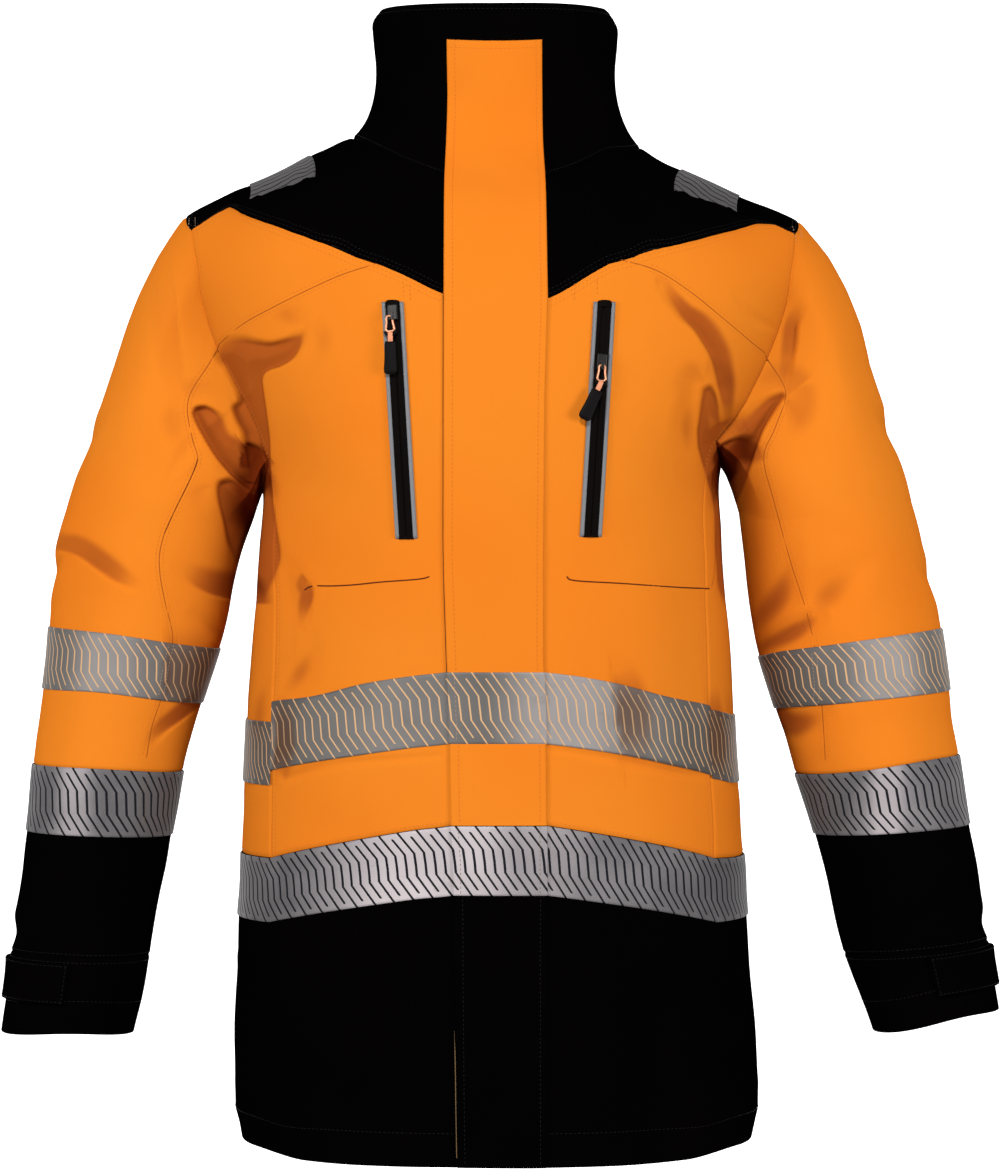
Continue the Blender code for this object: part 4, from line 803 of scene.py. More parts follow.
class Cloth:
    """A grid of points on a form, with folds, and how far each point is from each of its edges."""

    def __init__(self, form, rows, columns, step=CLOTH_STEP, closed=False, lift=0.0, thick=0.0,
                 seams="tfse", raised="", blend=None, dense=((0, 0), (0, 0)), lining=False,
                 pattern=0.0):
        self.closed, self.pattern, self.hem = closed, pattern, None
        t = self.spaced(lambda s: form(s[:, None], np.linspace(*columns, 40)[None, :]), rows, 0, step,
                        not (set("tf") & set(seams + raised)), dense[0])
        k = self.spaced(lambda s: form(np.linspace(*rows, 40)[:, None], s[None, :]), columns, 1, step,
                        closed, dense[1])
        base = hang(form(t[:, None], k[None, :]))
        normals = self.normals_of(base)
        centre = base.mean(axis=1, keepdims=True) if closed else np.array((0.0, 0.0, -0.25))
        if np.sum(normals * (base - centre)) < 0:
            normals = -normals
        if blend is not None:
            normals = blend(base, normals, t, k)
        down = np.linalg.norm(np.diff(base, axis=0), axis=2)
        across = np.linalg.norm(np.diff(base, axis=1), axis=2)
        self.down = np.vstack((np.zeros((1, base.shape[1])), np.cumsum(down, axis=0)))
        self.across = np.hstack((np.zeros((base.shape[0], 1)), np.cumsum(across, axis=1)))
        self.distance = {"t": self.down, "f": self.down[-1] - self.down,
                         "s": self.across, "e": self.across[:, -1:] - self.across}
        flat = base.reshape(-1, 3)
        shift, painted_shade = cloth_shift(flat, normals.reshape(-1, 3))
        self.painted_shade = painted_shade.reshape(base.shape[:2])
        if lining:
            shift = normals.reshape(-1, 3) * drift(flat)[:, None]
            lift = self.clear_of_hollows() - LINING_GAP
            self.painted_shade = self.painted_shade * 0
        height = np.zeros(base.shape[:2]) + lift
        rise = np.full(base.shape[:2], thick)
        for edge in raised:
            share = np.clip(self.distance[edge] / ROUND_EDGE, 0, 1)
            rise = np.minimum(rise, thick * np.sqrt(1 - (1 - share) ** 2))
        height += rise
        for edge in seams:
            for depth, reach in SEAM_SINK:
                height -= depth * np.exp(-((self.distance[edge] / reach) ** 2))
        self.base_normals = normals
        self.grid = base + normals * height[..., None] + shift.reshape(base.shape)
        self.normals = self.normals_of(self.grid)
        if np.sum(self.normals * normals) < 0:
            self.normals = -self.normals

    def spaced(self, sample, ends, axis, step, even, dense):
        """Places along one way of the form, closer together at the edges and between dense's ends."""
        probe = np.linspace(*ends, 160)
        found = sample(probe)
        lengths = np.linalg.norm(np.diff(found, axis=axis), axis=2).mean(axis=1 - axis)
        total = np.r_[0, np.cumsum(lengths)]
        middles = (probe[1:] + probe[:-1]) / 2
        closer = np.where((middles > dense[0]) & (middles < dense[1]), step / DENSE_STEP, 1.0)
        weights = np.r_[0, np.cumsum(lengths * closer)]
        count = max(int(round(weights[-1] / step)), 3)
        places = np.interp(np.linspace(0, weights[-1], count + 1), weights, total)
        if not even:
            near = np.array(EDGE_STEPS)
            near = near[near < total[-1] / 4]
            inner = places[(places > near[-1] + step / 3) & (places < total[-1] - near[-1] - step / 3)]
            places = np.r_[0, near, inner, total[-1] - near[::-1], total[-1]]
        return np.interp(places, total, probe)

    def normals_of(self, grid):
        if self.closed:
            ring = np.concatenate((grid[:, -2:-1], grid, grid[:, 1:2]), axis=1)
            across = ring[:, 2:] - ring[:, :-2]
        else:
            across = np.gradient(grid, axis=1)
        return unit(np.cross(across, np.gradient(grid, axis=0)))

    def clear_of_hollows(self):
        """How far a lining stays in, so that the outer cloth's folds don't reach it."""
        deep = np.minimum(self.painted_shade, 1)
        for _ in range(3):
            wide = np.pad(deep, 1, mode="edge")
            rows, columns = deep.shape
            deep = np.max([wide[i:i + rows, j:j + columns] for i in range(3) for j in range(3)], axis=0)
        return -LINING_DEEP * deep

    def turned_in(self, edge, back):
        """Adds the cloth that is turned under at the top or foot, so that its edge is round."""
        radius = HEM_RADIUS
        grid, normals = self.grid, self.normals
        if edge == "t":
            grid, normals = grid[::-1], normals[::-1]
        out = unit(grid[-1] - grid[-2])
        last, normal = grid[-1], normals[-1]
        rows = [last + out * radius * math.sin(a) - normal * radius * (1 - math.cos(a))
                for a in np.radians((40, 90, 140, 180))]
        depth = np.linalg.norm(grid[::-1] - last, axis=2).mean(axis=1)
        for j in range(1, len(grid)):
            if depth[j] > back:
                break
            rows.append(grid[-1 - j] - normals[-1 - j] * 2 * radius)
        self.hem, self.hem_edge = np.array(rows), edge
        return self

    def edge_line(self, edge, distance):
        """Points and normals at a distance from one edge."""
        grid, normals, away = self.grid, self.normals, self.distance[edge]
        if edge in "se":
            grid, normals, away = grid.swapaxes(0, 1), normals.swapaxes(0, 1), away.T
        if edge in "fe":
            grid, normals, away = grid[::-1], normals[::-1], away[::-1]
        low = np.clip((away < distance).sum(axis=0), 1, len(away) - 1)
        i = np.arange(grid.shape[1])
        share = (distance - away[low - 1, i]) / np.maximum(away[low, i] - away[low - 1, i], 1e-9)
        share = np.clip(share, 0, 1)[:, None]
        line = mix(grid[low - 1, i], grid[low, i], share)
        return line, unit(mix(normals[low - 1, i], normals[low, i], share))

    def piece(self, name, finish):
        """The Blender object, with its cut's own coordinates in metres."""
        grid, down, across, painted_shade = self.grid, self.down, self.across, self.painted_shade
        if self.pattern:
            down = down / down[-1] * self.pattern
        if self.hem is not None:
            foot = self.hem_edge == "f"
            edge, count = -1 if foot else 0, len(self.hem)
            step = np.r_[[np.linalg.norm(self.hem[0] - grid[edge], axis=1)],
                         np.linalg.norm(np.diff(self.hem, axis=0), axis=2)]
            depth = np.cumsum(step, axis=0)
            beyond = (self.hem, down[edge] + depth if foot else -depth,
                      *(np.repeat(values[edge][None], count, axis=0) for values in (across, painted_shade)))
            grid, down, across, painted_shade = (
                np.concatenate((values, more) if foot else (more[::-1], values))
                for values, more in zip((grid, down, across, painted_shade), beyond))
        rows, columns = grid.shape[:2]
        used = columns - 1 if self.closed else columns
        j, k = cells(rows - 1, columns - 1)
        corners = [(j, k), (j, k + 1), (j + 1, k + 1), (j + 1, k)]
        vertices = grid[:, :used].reshape(-1, 3)
        faces = np.stack([a * used + b % used for a, b in corners], axis=1)
        way = np.gradient(self.grid, axis=1)
        right = np.cross(self.normals, np.gradient(self.grid, axis=0))
        sign = 1 if np.sum(way * right) > 0 else -1
        coordinates = np.stack((sign * across, -down), axis=-1)
        uv = np.stack([coordinates[a, b] for a, b in corners], axis=1).reshape(-1, 2)
        a, b, c = (vertices[faces[:, i]] for i in range(3))
        normal = np.cross(b - a, c - a)
        if self.closed:
            flip = np.sum(normal[:, :2] * (a - vertices.mean(axis=0))[:, :2]) < 0
        else:
            flip = np.sum(normal.sum(axis=0) * self.base_normals.mean(axis=(0, 1))) < 0
        if flip:
            faces = faces[:, ::-1]
            uv = uv.reshape(-1, 4, 2)[:, ::-1].reshape(-1, 2)
        made = mesh_object(name, vertices, faces, finish, uv)
        # The folds' painted shade goes on as a point attribute, which darkens the finishes' colour.
        if painted_shade.max() > 0:
            values = made.data.attributes.new("painted_shade", "FLOAT", "POINT").data
            values.foreach_set("value", np.ascontiguousarray(painted_shade[:, :used], np.float32).ravel())
        return made


def cells(rows, columns):
    """Row and column of each cell of a grid."""
    j, k = np.meshgrid(np.arange(rows), np.arange(columns), indexing="ij")
    return j.ravel(), k.ravel()


def quads(rows, columns, first=0):
    """Faces of a grid of points, row by row."""
    j, k = cells(rows - 1, columns - 1)
    corner = j * columns + k + first
    return np.stack((corner, corner + 1, corner + columns + 1, corner + columns), axis=1)


def turned_quads(rows, columns, first=0):
    """The same faces, turned over."""
    return quads(rows, columns, first)[:, (0, 3, 2, 1)]


def ring_quads(count, rings, sides):
    """Faces from each of the first rings of points to the next."""
    j, k = cells(count, sides)
    after, beside = (j + 1) % rings, (k + 1) % sides
    return np.stack((j * sides + k, after * sides + k, after * sides + beside, j * sides + beside),
                    axis=1)


def mesh_object(name, vertices, faces, finish, uv=None):
    """A smooth mesh from its points and faces, with its cut's coordinates if it has some."""
    mesh = bpy.data.meshes.new(name)
    count, size = len(faces), faces.shape[1]
    mesh.vertices.add(len(vertices))
    mesh.vertices.foreach_set("co", np.ascontiguousarray(vertices, np.float32).ravel())
    mesh.loops.add(count * size)
    mesh.loops.foreach_set("vertex_index", np.ascontiguousarray(faces, np.int32).ravel())
    mesh.polygons.add(count)
    mesh.polygons.foreach_set("loop_start", np.arange(0, count * size, size, dtype=np.int32))
    mesh.polygons.foreach_set("loop_total", np.full(count, size, np.int32))
    mesh.update(calc_edges=True)
    if uv is not None:
        layer = mesh.uv_layers.new(name="cut")
        layer.data.foreach_set("uv", np.ascontiguousarray(uv, np.float32).ravel())
    mesh.shade_smooth()
    mesh.materials.append(finish)
    obj = bpy.data.objects.new(name, mesh)
    bpy.context.scene.collection.objects.link(obj)
    return obj


# ---------------- finishes
def maths(operation, turned=False):
    """A method of Wire that adds one Math node, with its two values turned round or not."""
    def method(self, *others):
        values = (*others, self) if turned else (self, *others)
        return self.finish.node("Math", {"operation": operation}, dict(enumerate(values)))
    return method


class Wire:
    """A number that varies over a finish. Sums and products on it add their Math nodes."""

    __add__, __radd__ = maths("ADD"), maths("ADD", True)
    __sub__, __rsub__ = maths("SUBTRACT"), maths("SUBTRACT", True)
    __truediv__, __rtruediv__ = maths("DIVIDE"), maths("DIVIDE", True)
    __mul__, least, most = maths("MULTIPLY"), maths("MINIMUM"), maths("MAXIMUM")
    sine, size, root, part = maths("SINE"), maths("ABSOLUTE"), maths("SQRT"), maths("FRACT")

    def __init__(self, finish, socket):
        self.finish, self.socket = finish, socket

    def within(self, low=0.0, high=1.0):
        return self.most(low).least(high)


class Finish:
    """A procedural finish on one Principled shader."""

    def __init__(self, name, **constants):
        self.material = bpy.data.materials.new(name)
        self.material.use_nodes = True
        self.tree = self.material.node_tree
        self.shader = self.tree.nodes["Principled BSDF"]
        for socket, value in constants.items():
            self.shader.inputs[socket.replace("_", " ")].default_value = value

    def node(self, kind, settings=None, inputs=None, out=0):
        made = self.tree.nodes.new("ShaderNode" + kind)
        for setting, value in (settings or {}).items():
            setattr(made, setting, value)
        for socket, value in (inputs or {}).items():
            if isinstance(value, Wire):
                self.tree.links.new(value.socket, made.inputs[socket])
            else:
                made.inputs[socket].default_value = value
        return Wire(self, made.outputs[out])

    def cut(self):
        """The two coordinates of the piece's cut, in metres: along and up."""
        place = self.node("UVMap", {"uv_map": "cut"})
        return [self.node("SeparateXYZ", {}, {0: place}, out) for out in (0, 1)]

    def noise(self, scale, detail=3.0, roughness=0.55):
        return self.node("TexNoise", {}, {"Vector": self.node("TexCoord", out=3), "Scale": scale,
                                          "Detail": detail, "Roughness": roughness})

    def painted_shade(self):
        """The painted shade in the folds' hollows: how much darker a point of the cloth is painted."""
        return self.node("Attribute", {"attribute_name": "painted_shade"}, out=2)

    def blend(self, share, a, b):
        a = a if isinstance(a, Wire) else (*a, 1.0)
        b = b if isinstance(b, Wire) else (*b, 1.0)
        return self.node("Mix", {"data_type": "RGBA"}, {0: share, 6: a, 7: b}, 2)

    def feed(self, socket, wire):
        self.tree.links.new(wire.socket, self.shader.inputs[socket])

    def bump(self, height, distance, strength=1.0):
        self.feed("Normal", self.node("Bump", {}, {"Height": height, "Distance": distance,
                                                   "Strength": strength}))


WEAVE = 0.00085             # from one yarn of the outer cloth to the next
GRAIN_DEPTH = 0.00006


def weave(finish):
    """Height of a plain weave, from 0 to 1."""
    u, v = finish.cut()
    turns = 2 * math.pi / WEAVE
    over = (u * turns).sine() * (v * turns).sine()
    return over * 0.5 + 0.5


def orange_cloth():
    finish = Finish("orange_cloth", Roughness=0.62, Specular_IOR_Level=0.0)
    yarn = weave(finish)
    broad = ((finish.noise(5.0, 2.0) - 0.42) * 3.2).within()
    fine = finish.noise(900.0, 2.0)
    colour = finish.blend(broad, (0.496, 0.139, 0.0108), (0.502, 0.122, 0.0082))
    colour = finish.blend(yarn * 0.1 + (fine - 0.5) * 0.12, colour, (0.422, 0.097, 0.0062))
    # Painted shade: the cloth is painted darker where it lies deep in a fold, and darker still where the
    # painted shade of folds overlaps.
    painted_shade = finish.painted_shade()
    colour = finish.blend(painted_shade.within(), colour, (0.27, 0.059, 0.0078))
    colour = finish.blend((painted_shade - 1.0).within(), colour, (0.09, 0.012, 0.0018))
    finish.feed("Base Color", colour)
    finish.feed("Roughness", 0.58 + fine * 0.1)
    finish.bump(yarn * 0.7 + fine * 0.3, 0.0001, 0.55)
    return finish.material


def black_cloth():
    finish = Finish("black_cloth", Roughness=0.8, Specular_IOR_Level=0.0)
    yarn = weave(finish)
    fine = finish.noise(1200.0, 2.0)
    broad = finish.noise(9.0, 3.0)
    colour = finish.blend(broad, (0.0004, 0.0004, 0.0005), (0.0012, 0.0008, 0.0008))
    finish.feed("Base Color", colour)
    finish.feed("Roughness", 0.7 + fine * 0.15)
    finish.bump(yarn * 0.7 + fine * 0.5, 0.0001, 0.6)
    return finish.material


TAPE_PAIR = 0.0146          # from one full line of the tape's pattern to the next
TAPE_WIDTH = 0.05
LINE_SHORT = 0.0048         # how far every second line stops short of both edges
LEAN = 0.7                 # how far a line runs aside in the slanting thirds, per metre down
LEAN_MIDDLE = 0.08
LINE_SOFT = 0.00018         # how softly a line's edge ends
CRACK_PITCH, CRACK_LEAN, CRACK_STRAY = 0.0085, 0.25, 0.016
CRACK_HALF, CRACK_SOFT = 0.13, 0.06     # shares of the pitch


def tape_lines(finish, line_half):
    """1 on the tape's lines, which slant, stand upright and slant again, and 0 between them."""
    u, up = finish.cut()
    down = up * -1.0
    third = TAPE_WIDTH / 3
    aside = (down.least(third) * LEAN + (down - third).within(0.0, third) * LEAN_MIDDLE
             + (down - 2 * third).most(0.0) * LEAN)
    place = (u - aside) / TAPE_PAIR
    lines = None
    for start, short in ((0.25, 0.0), (0.75, LINE_SHORT)):
        away = ((place + 10.0 + start).part() - 0.5).size() * TAPE_PAIR
        beyond = (short - down).most(down - (TAPE_WIDTH - short)).most(0.0)
        away = (away * away + beyond * beyond).root()
        line = ((line_half - away) / LINE_SOFT + 0.5).within()
        lines = line if lines is None else lines.most(line)
    return lines


def worn_lines(finish):
    """1 on the dark cracks that run along a creased tape."""
    u, up = finish.cut()
    place = (u - up * CRACK_LEAN + (finish.noise(38.0, 1.0) - 0.5) * CRACK_STRAY) / CRACK_PITCH
    return ((CRACK_HALF - ((place + 20.0).part() - 0.5).size()) / CRACK_SOFT).within()


def reflective_tape(name, line_colour, dark, bright, painted_highlight_bands=((0.0, 0.1, 1.0),), line_half=0.0,
                    worn=False, shine=0.25):
    """Grey reflective film with fine glass beads, and painted highlights: it is painted brightest at its
    bands (centre, reach, most) across the object's X.
    """
    finish = Finish(name, Specular_IOR_Level=shine)
    beads = finish.noise(2600.0, 1.0)
    broad = finish.noise(14.0, 3.0)
    rubbed = ((finish.noise(60.0, 5.0, 0.7) - 0.6) * 5.0).within()
    across = finish.node("SeparateXYZ", {}, {0: finish.node("TexCoord", out=3)}, 0)
    # Painted highlight: the film lightens towards each band's centre, where a lamp's reflection would
    # fall on the curved tape.
    painted_highlight = broad * 0.0
    for centre, reach, most in painted_highlight_bands:
        place = (across - centre) / reach
        painted_highlight = painted_highlight.most(most / (1.0 + place * place * place * place))
    film = finish.blend((painted_highlight * 0.85 + (broad - 0.5) * 0.6).within(), dark, bright)
    film = finish.blend(rubbed * 0.35, film, tuple(c * 0.8 for c in dark))
    film = finish.blend(beads * 0.2, film, tuple(c * 1.1 for c in bright))
    # Painted shade: the film and its lines are painted darker where the tape lies deep in a fold.
    painted_shade = finish.painted_shade().within()
    film = finish.blend(painted_shade * 0.9, film, (0.062, 0.029, 0.015))
    if line_half or worn:
        lines = worn_lines(finish) if worn else tape_lines(finish, line_half)
        line_colour = finish.blend(painted_shade * 0.6, line_colour, tuple(c * 0.35 for c in line_colour))
        finish.feed("Base Color", finish.blend(lines, film, line_colour))
        finish.feed("Metallic", 0.12 - lines * 0.12)
        finish.feed("Roughness", 0.5 + lines * 0.25 + beads * 0.08)
        finish.bump((1 - lines) * 0.8 + beads * 0.2, 0.00016, 0.8)
    else:
        finish.feed("Base Color", film)
        finish.feed("Roughness", 0.42 + beads * 0.1)
        finish.bump(beads, 0.00008, 0.6)
    return finish.material


def plain_finish(name, colour, roughness, metallic=0.0, grain=700.0, vary=0.25, shine=0.1):
    """A finish with a fine grain and slightly uneven colour."""
    finish = Finish(name, Metallic=metallic, Specular_IOR_Level=shine)
    grains, broad = finish.noise(grain, 3.0), finish.noise(grain / 25, 3.0)
    darker = tuple(c * (1 - vary) for c in colour)
    finish.feed("Base Color", finish.blend(broad * 0.6 + grains * 0.4, darker, colour))
    finish.feed("Roughness", roughness + (grains - 0.5) * 0.2)
    finish.bump(grains, GRAIN_DEPTH, 0.7)
    return finish.material


def make_finishes():
    return {
        "orange": orange_cloth(),
        "black": black_cloth(),
        # Each tape's dark and bright film colours and its bands give its painted highlights; the film on
        # black cloth is painted brighter.
        "tape_on_orange": reflective_tape(
            "reflective_tape_on_orange", (0.42, 0.25, 0.125), (0.043, 0.041, 0.036),
            (0.22, 0.2, 0.194), ((0.052, 0.039, 1.0), (-0.055, 0.042, 0.36), (-0.297, 0.028, 0.65),
                                 (0.3, 0.028, 0.75)), 0.00062),
        "tape_on_black": reflective_tape(
            "reflective_tape_on_black", (0.004, 0.004, 0.006), (0.035, 0.036, 0.038),
            (0.42, 0.375, 0.385), ((-0.045, 0.056, 1.0), (0.022, 0.042, 0.4), (-0.32, 0.012, 0.42),
                                   (0.297, 0.013, 0.6)), 0.00096, shine=0.12),
        # Shoulder tapes: worn film with cracks, and painted shade, since their grey is a darker copy of
        # the other tapes' so that tape facing up into the lamps looks dim.
        "tape_dull": reflective_tape(
            "reflective_tape_worn_painted_dark", (0.005, 0.004, 0.004), (0.058, 0.055, 0.056),
            (0.085, 0.081, 0.082), worn=True, shine=0.03),
        "piping": reflective_tape(
            "reflective_piping", (0, 0, 0), (0.085, 0.088, 0.095), (0.135, 0.138, 0.145), shine=0.2),
        "lining": plain_finish("lining_cloth", (0.02, 0.02, 0.023), 0.85, grain=900.0),
        "thread_orange": plain_finish("orange_thread", (0.43, 0.1, 0.008), 0.6, grain=3000.0),
        "thread_black": plain_finish("black_thread", (0.0022, 0.002, 0.002), 0.6, grain=3000.0),
        "seam": plain_finish("shaded_seam", (0.27, 0.058, 0.005), 0.9, grain=2000.0),
        "painted_shadow": plain_finish("painted_shadow_line", (0.085, 0.014, 0.002), 0.9, grain=2000.0),
        "gold": plain_finish("gold_thread", (0.12, 0.075, 0.03), 0.7, grain=2000.0),
        "pale": plain_finish("pale_thread", (0.33, 0.23, 0.16), 0.8, grain=2000.0),
        "zip": plain_finish("zip_tape", (0.0022, 0.0012, 0.0012), 0.6, grain=1500.0, shine=0.02),
        "slider": plain_finish("slider_metal", (0.022, 0.02, 0.019), 0.32, 0.7, grain=500.0, shine=0.5),
        "metal": plain_finish("pull_metal", (0.62, 0.28, 0.16), 0.36, 0.45, grain=900.0),
        "cord": plain_finish("pull_cord", (0.56, 0.22, 0.12), 0.75, grain=2500.0),
        "rubber": plain_finish("pull_rubber", (0.0035, 0.0028, 0.0028), 0.55, grain=1800.0, shine=0.04),
        "paper": plain_finish("studio_paper", (0.9, 0.9, 0.9), 0.9, grain=40.0, vary=0.01),
        "glow": Finish("studio_light", Emission_Color=(1.0, 1.0, 1.0, 1.0),
                       Emission_Strength=1.1).material,
    }


FINISH = make_finishes()


# ---------------- thread, seams and strips
class Thread:
    """Stitches of one colour, gathered into one piece."""

    FACES = np.array(((0, 1, 2), (0, 2, 3), (1, 4, 5), (1, 5, 2), (2, 5, 6), (2, 6, 3), (4, 7, 5),
                      (5, 7, 6)))

    def __init__(self, name, finish):
        self.name, self.finish, self.vertices = name, finish, []

    def sew(self, line, pitch=STITCH, radius=THREAD):
        """Stitches along a line of points, which comes with its normals."""
        places, normals = line
        steps = lengths_along(places)
        count = int(steps[-1] / pitch)
        if count < 1:
            return
        start = np.arange(count) * pitch + STITCH_GAP / 2
        spots = start[:, None] + (pitch - STITCH_GAP) * np.array(STITCH_SHARES)[None, :]
        at, out = places_along(places, steps, spots), unit(places_along(normals, steps, spots))
        aside = unit(np.cross(at[:, 3] - at[:, 0], out[:, 1]))[:, None, :] * radius
        low = at - out * radius * 0.6
        sides = [low[:, 0], low[:, 1] - aside[:, 0], at[:, 1] + out[:, 1] * radius,
                 low[:, 1] + aside[:, 0], low[:, 2] - aside[:, 0], at[:, 2] + out[:, 2] * radius,
                 low[:, 2] + aside[:, 0], low[:, 3]]
        self.vertices.append(np.stack(sides, axis=1).reshape(-1, 3))

    def piece(self):
        vertices = np.concatenate(self.vertices)
        faces = self.FACES[None] + np.arange(len(vertices) // 8)[:, None, None] * 8
        return mesh_object(self.name, vertices, faces.reshape(-1, 3), self.finish)


class Ribbons:
    """Narrow strips along lines on the cloth, gathered into one piece."""

    def __init__(self, name, finish):
        self.name, self.finish, self.vertices, self.faces, self.count = name, finish, [], [], 0

    def lay(self, line, profile):
        """profile holds (aside, out) of the strip's cross-section, in metres."""
        places, normals = line
        way = unit(np.gradient(places, axis=0))
        aside = unit(np.cross(way, normals))
        rows = [places + aside * a + normals * b for a, b in profile]
        vertices = np.stack(rows, axis=1)
        self.faces.append(quads(*vertices.shape[:2], self.count))
        self.vertices.append(vertices.reshape(-1, 3))
        self.count += len(self.vertices[-1])

    def piece(self):
        return mesh_object(self.name, np.concatenate(self.vertices), np.concatenate(self.faces),
                           self.finish)


class Skin:
    """The outer faces of several cloth pieces, to lay lines on."""

    def __init__(self, objects):
        vertices, faces, count = [], [], 0
        for obj in objects:
            mesh = obj.data
            places = np.zeros(len(mesh.vertices) * 3, np.float32)
            mesh.vertices.foreach_get("co", places)
            corners = np.zeros(len(mesh.loops), np.int32)
            mesh.loops.foreach_get("vertex_index", corners)
            vertices.append(places.reshape(-1, 3))
            faces.append(corners.reshape(len(mesh.polygons), -1) + count)
            count += len(mesh.vertices)
        self.tree = BVHTree.FromPolygons(np.concatenate(vertices).tolist(),
                                         np.concatenate(faces).tolist())

    def line(self, path, side="front", step=0.0025):
        """Points on the cloth along a path seen from one side, in millimetres, with their normals."""
        path = path_points(path, 2)
        length = np.linalg.norm(np.diff(path, axis=0), axis=1).sum()
        path = rounded(path, np.linspace(0, len(path) - 1, max(int(length / step), 3)))
        way = -Vector(WAYS[side])
        found, normals = [], []
        for x, z in path:
            hit, normal, _, _ = self.tree.ray_cast(Vector((x, 0, z)) - way, way)
            if hit is not None:
                normal = normal if normal.dot(way) < 0 else -normal
                found.append(hit)
                normals.append(normal)
        found, normals = np.array(found), np.array(normals)
        for _ in range(EVEN_ROUNDS):
            normals[1:-1] = unit(normals[:-2] + 2 * normals[1:-1] + normals[2:])
        return found, normals


def smoothed(line):
    """The line with its small steps evened out."""
    places, normals = (values.copy() for values in line)
    for _ in range(EVEN_ROUNDS):
        places[1:-1] = (places[:-2] + 2 * places[1:-1] + places[2:]) / 4
        normals[1:-1] = unit(normals[:-2] + 2 * normals[1:-1] + normals[2:])
    return places, normals


# ---------------- attaching the pieces
def own(piece, slot_name, *nodes, body="root"):
    """Says which body a piece moves with and hides the nodes that it stands for. Its slot is not used."""
    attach(piece, body)
    if nodes:
        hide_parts(*nodes)


FLATS = {   # width, length and area of each piece's cut
    "back": (0.535, 0.494, 0.1875), "skirt_back": (0.556, 0.257, 0.138), "yoke": (1.272, 0.167, 0.1113),
    "collar": (0.665, 0.178, 0.0846), "placket_upper": (0.078, 0.604, 0.0448),
    "placket_lower": (0.071, 0.281, 0.0195), "lining_back": (0.535, 0.494, 0.1875),
    "lining_skirt_back": (0.556, 0.193, 0.1026), "lining_yoke": (1.27, 0.166, 0.1113),
    "lining_collar": (0.665, 0.135, 0.0626), "waist_tape_back": (0.363, 0.053, 0.019),
    "hip_tape_back": (0.534, 0.052, 0.0262), "waist_tape_placket": (0.072, 0.054, 0.0038),
    "hip_tape_placket": (0.071, 0.052, 0.0036),
}
SIDE_FLATS = {     # and of the right and the left one
    "front": ((0.27, 0.512, 0.087), (0.259, 0.503, 0.0839)),
    "side": ((0.169, 0.307, 0.0439), (0.169, 0.32, 0.0467)),
    "skirt_front": ((0.275, 0.281, 0.0712), (0.272, 0.281, 0.07)),
    "sleeve": ((0.605, 0.447, 0.1468), (0.574, 0.439, 0.1483)),
    "lower_sleeve": ((0.386, 0.147, 0.0524), (0.403, 0.146, 0.0537)),
    "cuff": ((0.34, 0.093, 0.0293), (0.347, 0.093, 0.0285)),
    "sleeve_tape_1": ((0.432, 0.048, 0.0193), (0.448, 0.049, 0.0202)),
    "sleeve_tape_2": ((0.386, 0.052, 0.0193), (0.403, 0.054, 0.0201)),
    "lining_front": ((0.282, 0.509, 0.0921), (0.273, 0.503, 0.089)),
    "lining_side": ((0.169, 0.307, 0.0439), (0.169, 0.32, 0.0467)),
    "lining_skirt_front": ((0.285, 0.213, 0.0554), (0.286, 0.213, 0.0549)),
    "lining_sleeve": ((0.6, 0.447, 0.1466), (0.569, 0.439, 0.1482)),
    "lining_lower_sleeve": ((0.386, 0.185, 0.0652), (0.403, 0.184, 0.0665)),
    "waist_tape_front": ((0.154, 0.054, 0.0079), (0.148, 0.054, 0.0075)),
    "waist_tape_side": ((0.167, 0.053, 0.0081), (0.166, 0.054, 0.0085)),
    "hip_tape_front": ((0.248, 0.052, 0.0121), (0.237, 0.051, 0.0115)),
    "cuff_tab": ((0.106, 0.032, 0.0033), (0.108, 0.032, 0.0033)),
    "shoulder_tape": ((0.156, 0.076, 0.0076), (0.152, 0.072, 0.0069)),
}
for name, both in SIDE_FLATS.items():
    FLATS[name + "_right"], FLATS[name + "_left"] = both

SLOTS = {"orange": "orange_cloth", "black": "black_cloth", "lining": "black_cloth"}
CLOTHS, MADE = {}, {}       # the form and the object of each cloth piece, by its node's name


def cloth_piece(cloth, finish, piece_name, nodes):
    """A cloth piece with its cut's coordinates, which moves with the root and hides the nodes that it
    stands for.
    """
    piece = cloth.piece(piece_name, FINISH[finish])
    own(piece, SLOTS.get(finish, "reflective_tape"), *nodes)
    return piece


def make(name, cloth, finish):
    """The cloth piece that stands for the node of this name."""
    CLOTHS[name] = cloth
    MADE[name] = cloth_piece(cloth, finish, name + "_cloth", [name])


def tape(name, form, rows, columns, rests_on, finish, lift=0.0006, step=CLOTH_STEP, **options):
    """A reflective tape that lies on a cloth piece."""
    cloth = Cloth(form, rows, columns, step=step, lift=lift, thick=TAPE_THICK, seams="", raised="tf",
                  pattern=TAPE_WIDTH, **options)
    make(name, cloth, finish)


# ---------------- the body's cloth
AROUND = (-YOKE_LAST, YOKE_LAST)
WHOLE_BACK = both_sides(back_form, BACK_COLUMNS)
WHOLE_SKIRT = both_sides(skirt_back_form, SKIRT_BACK_COLUMNS)


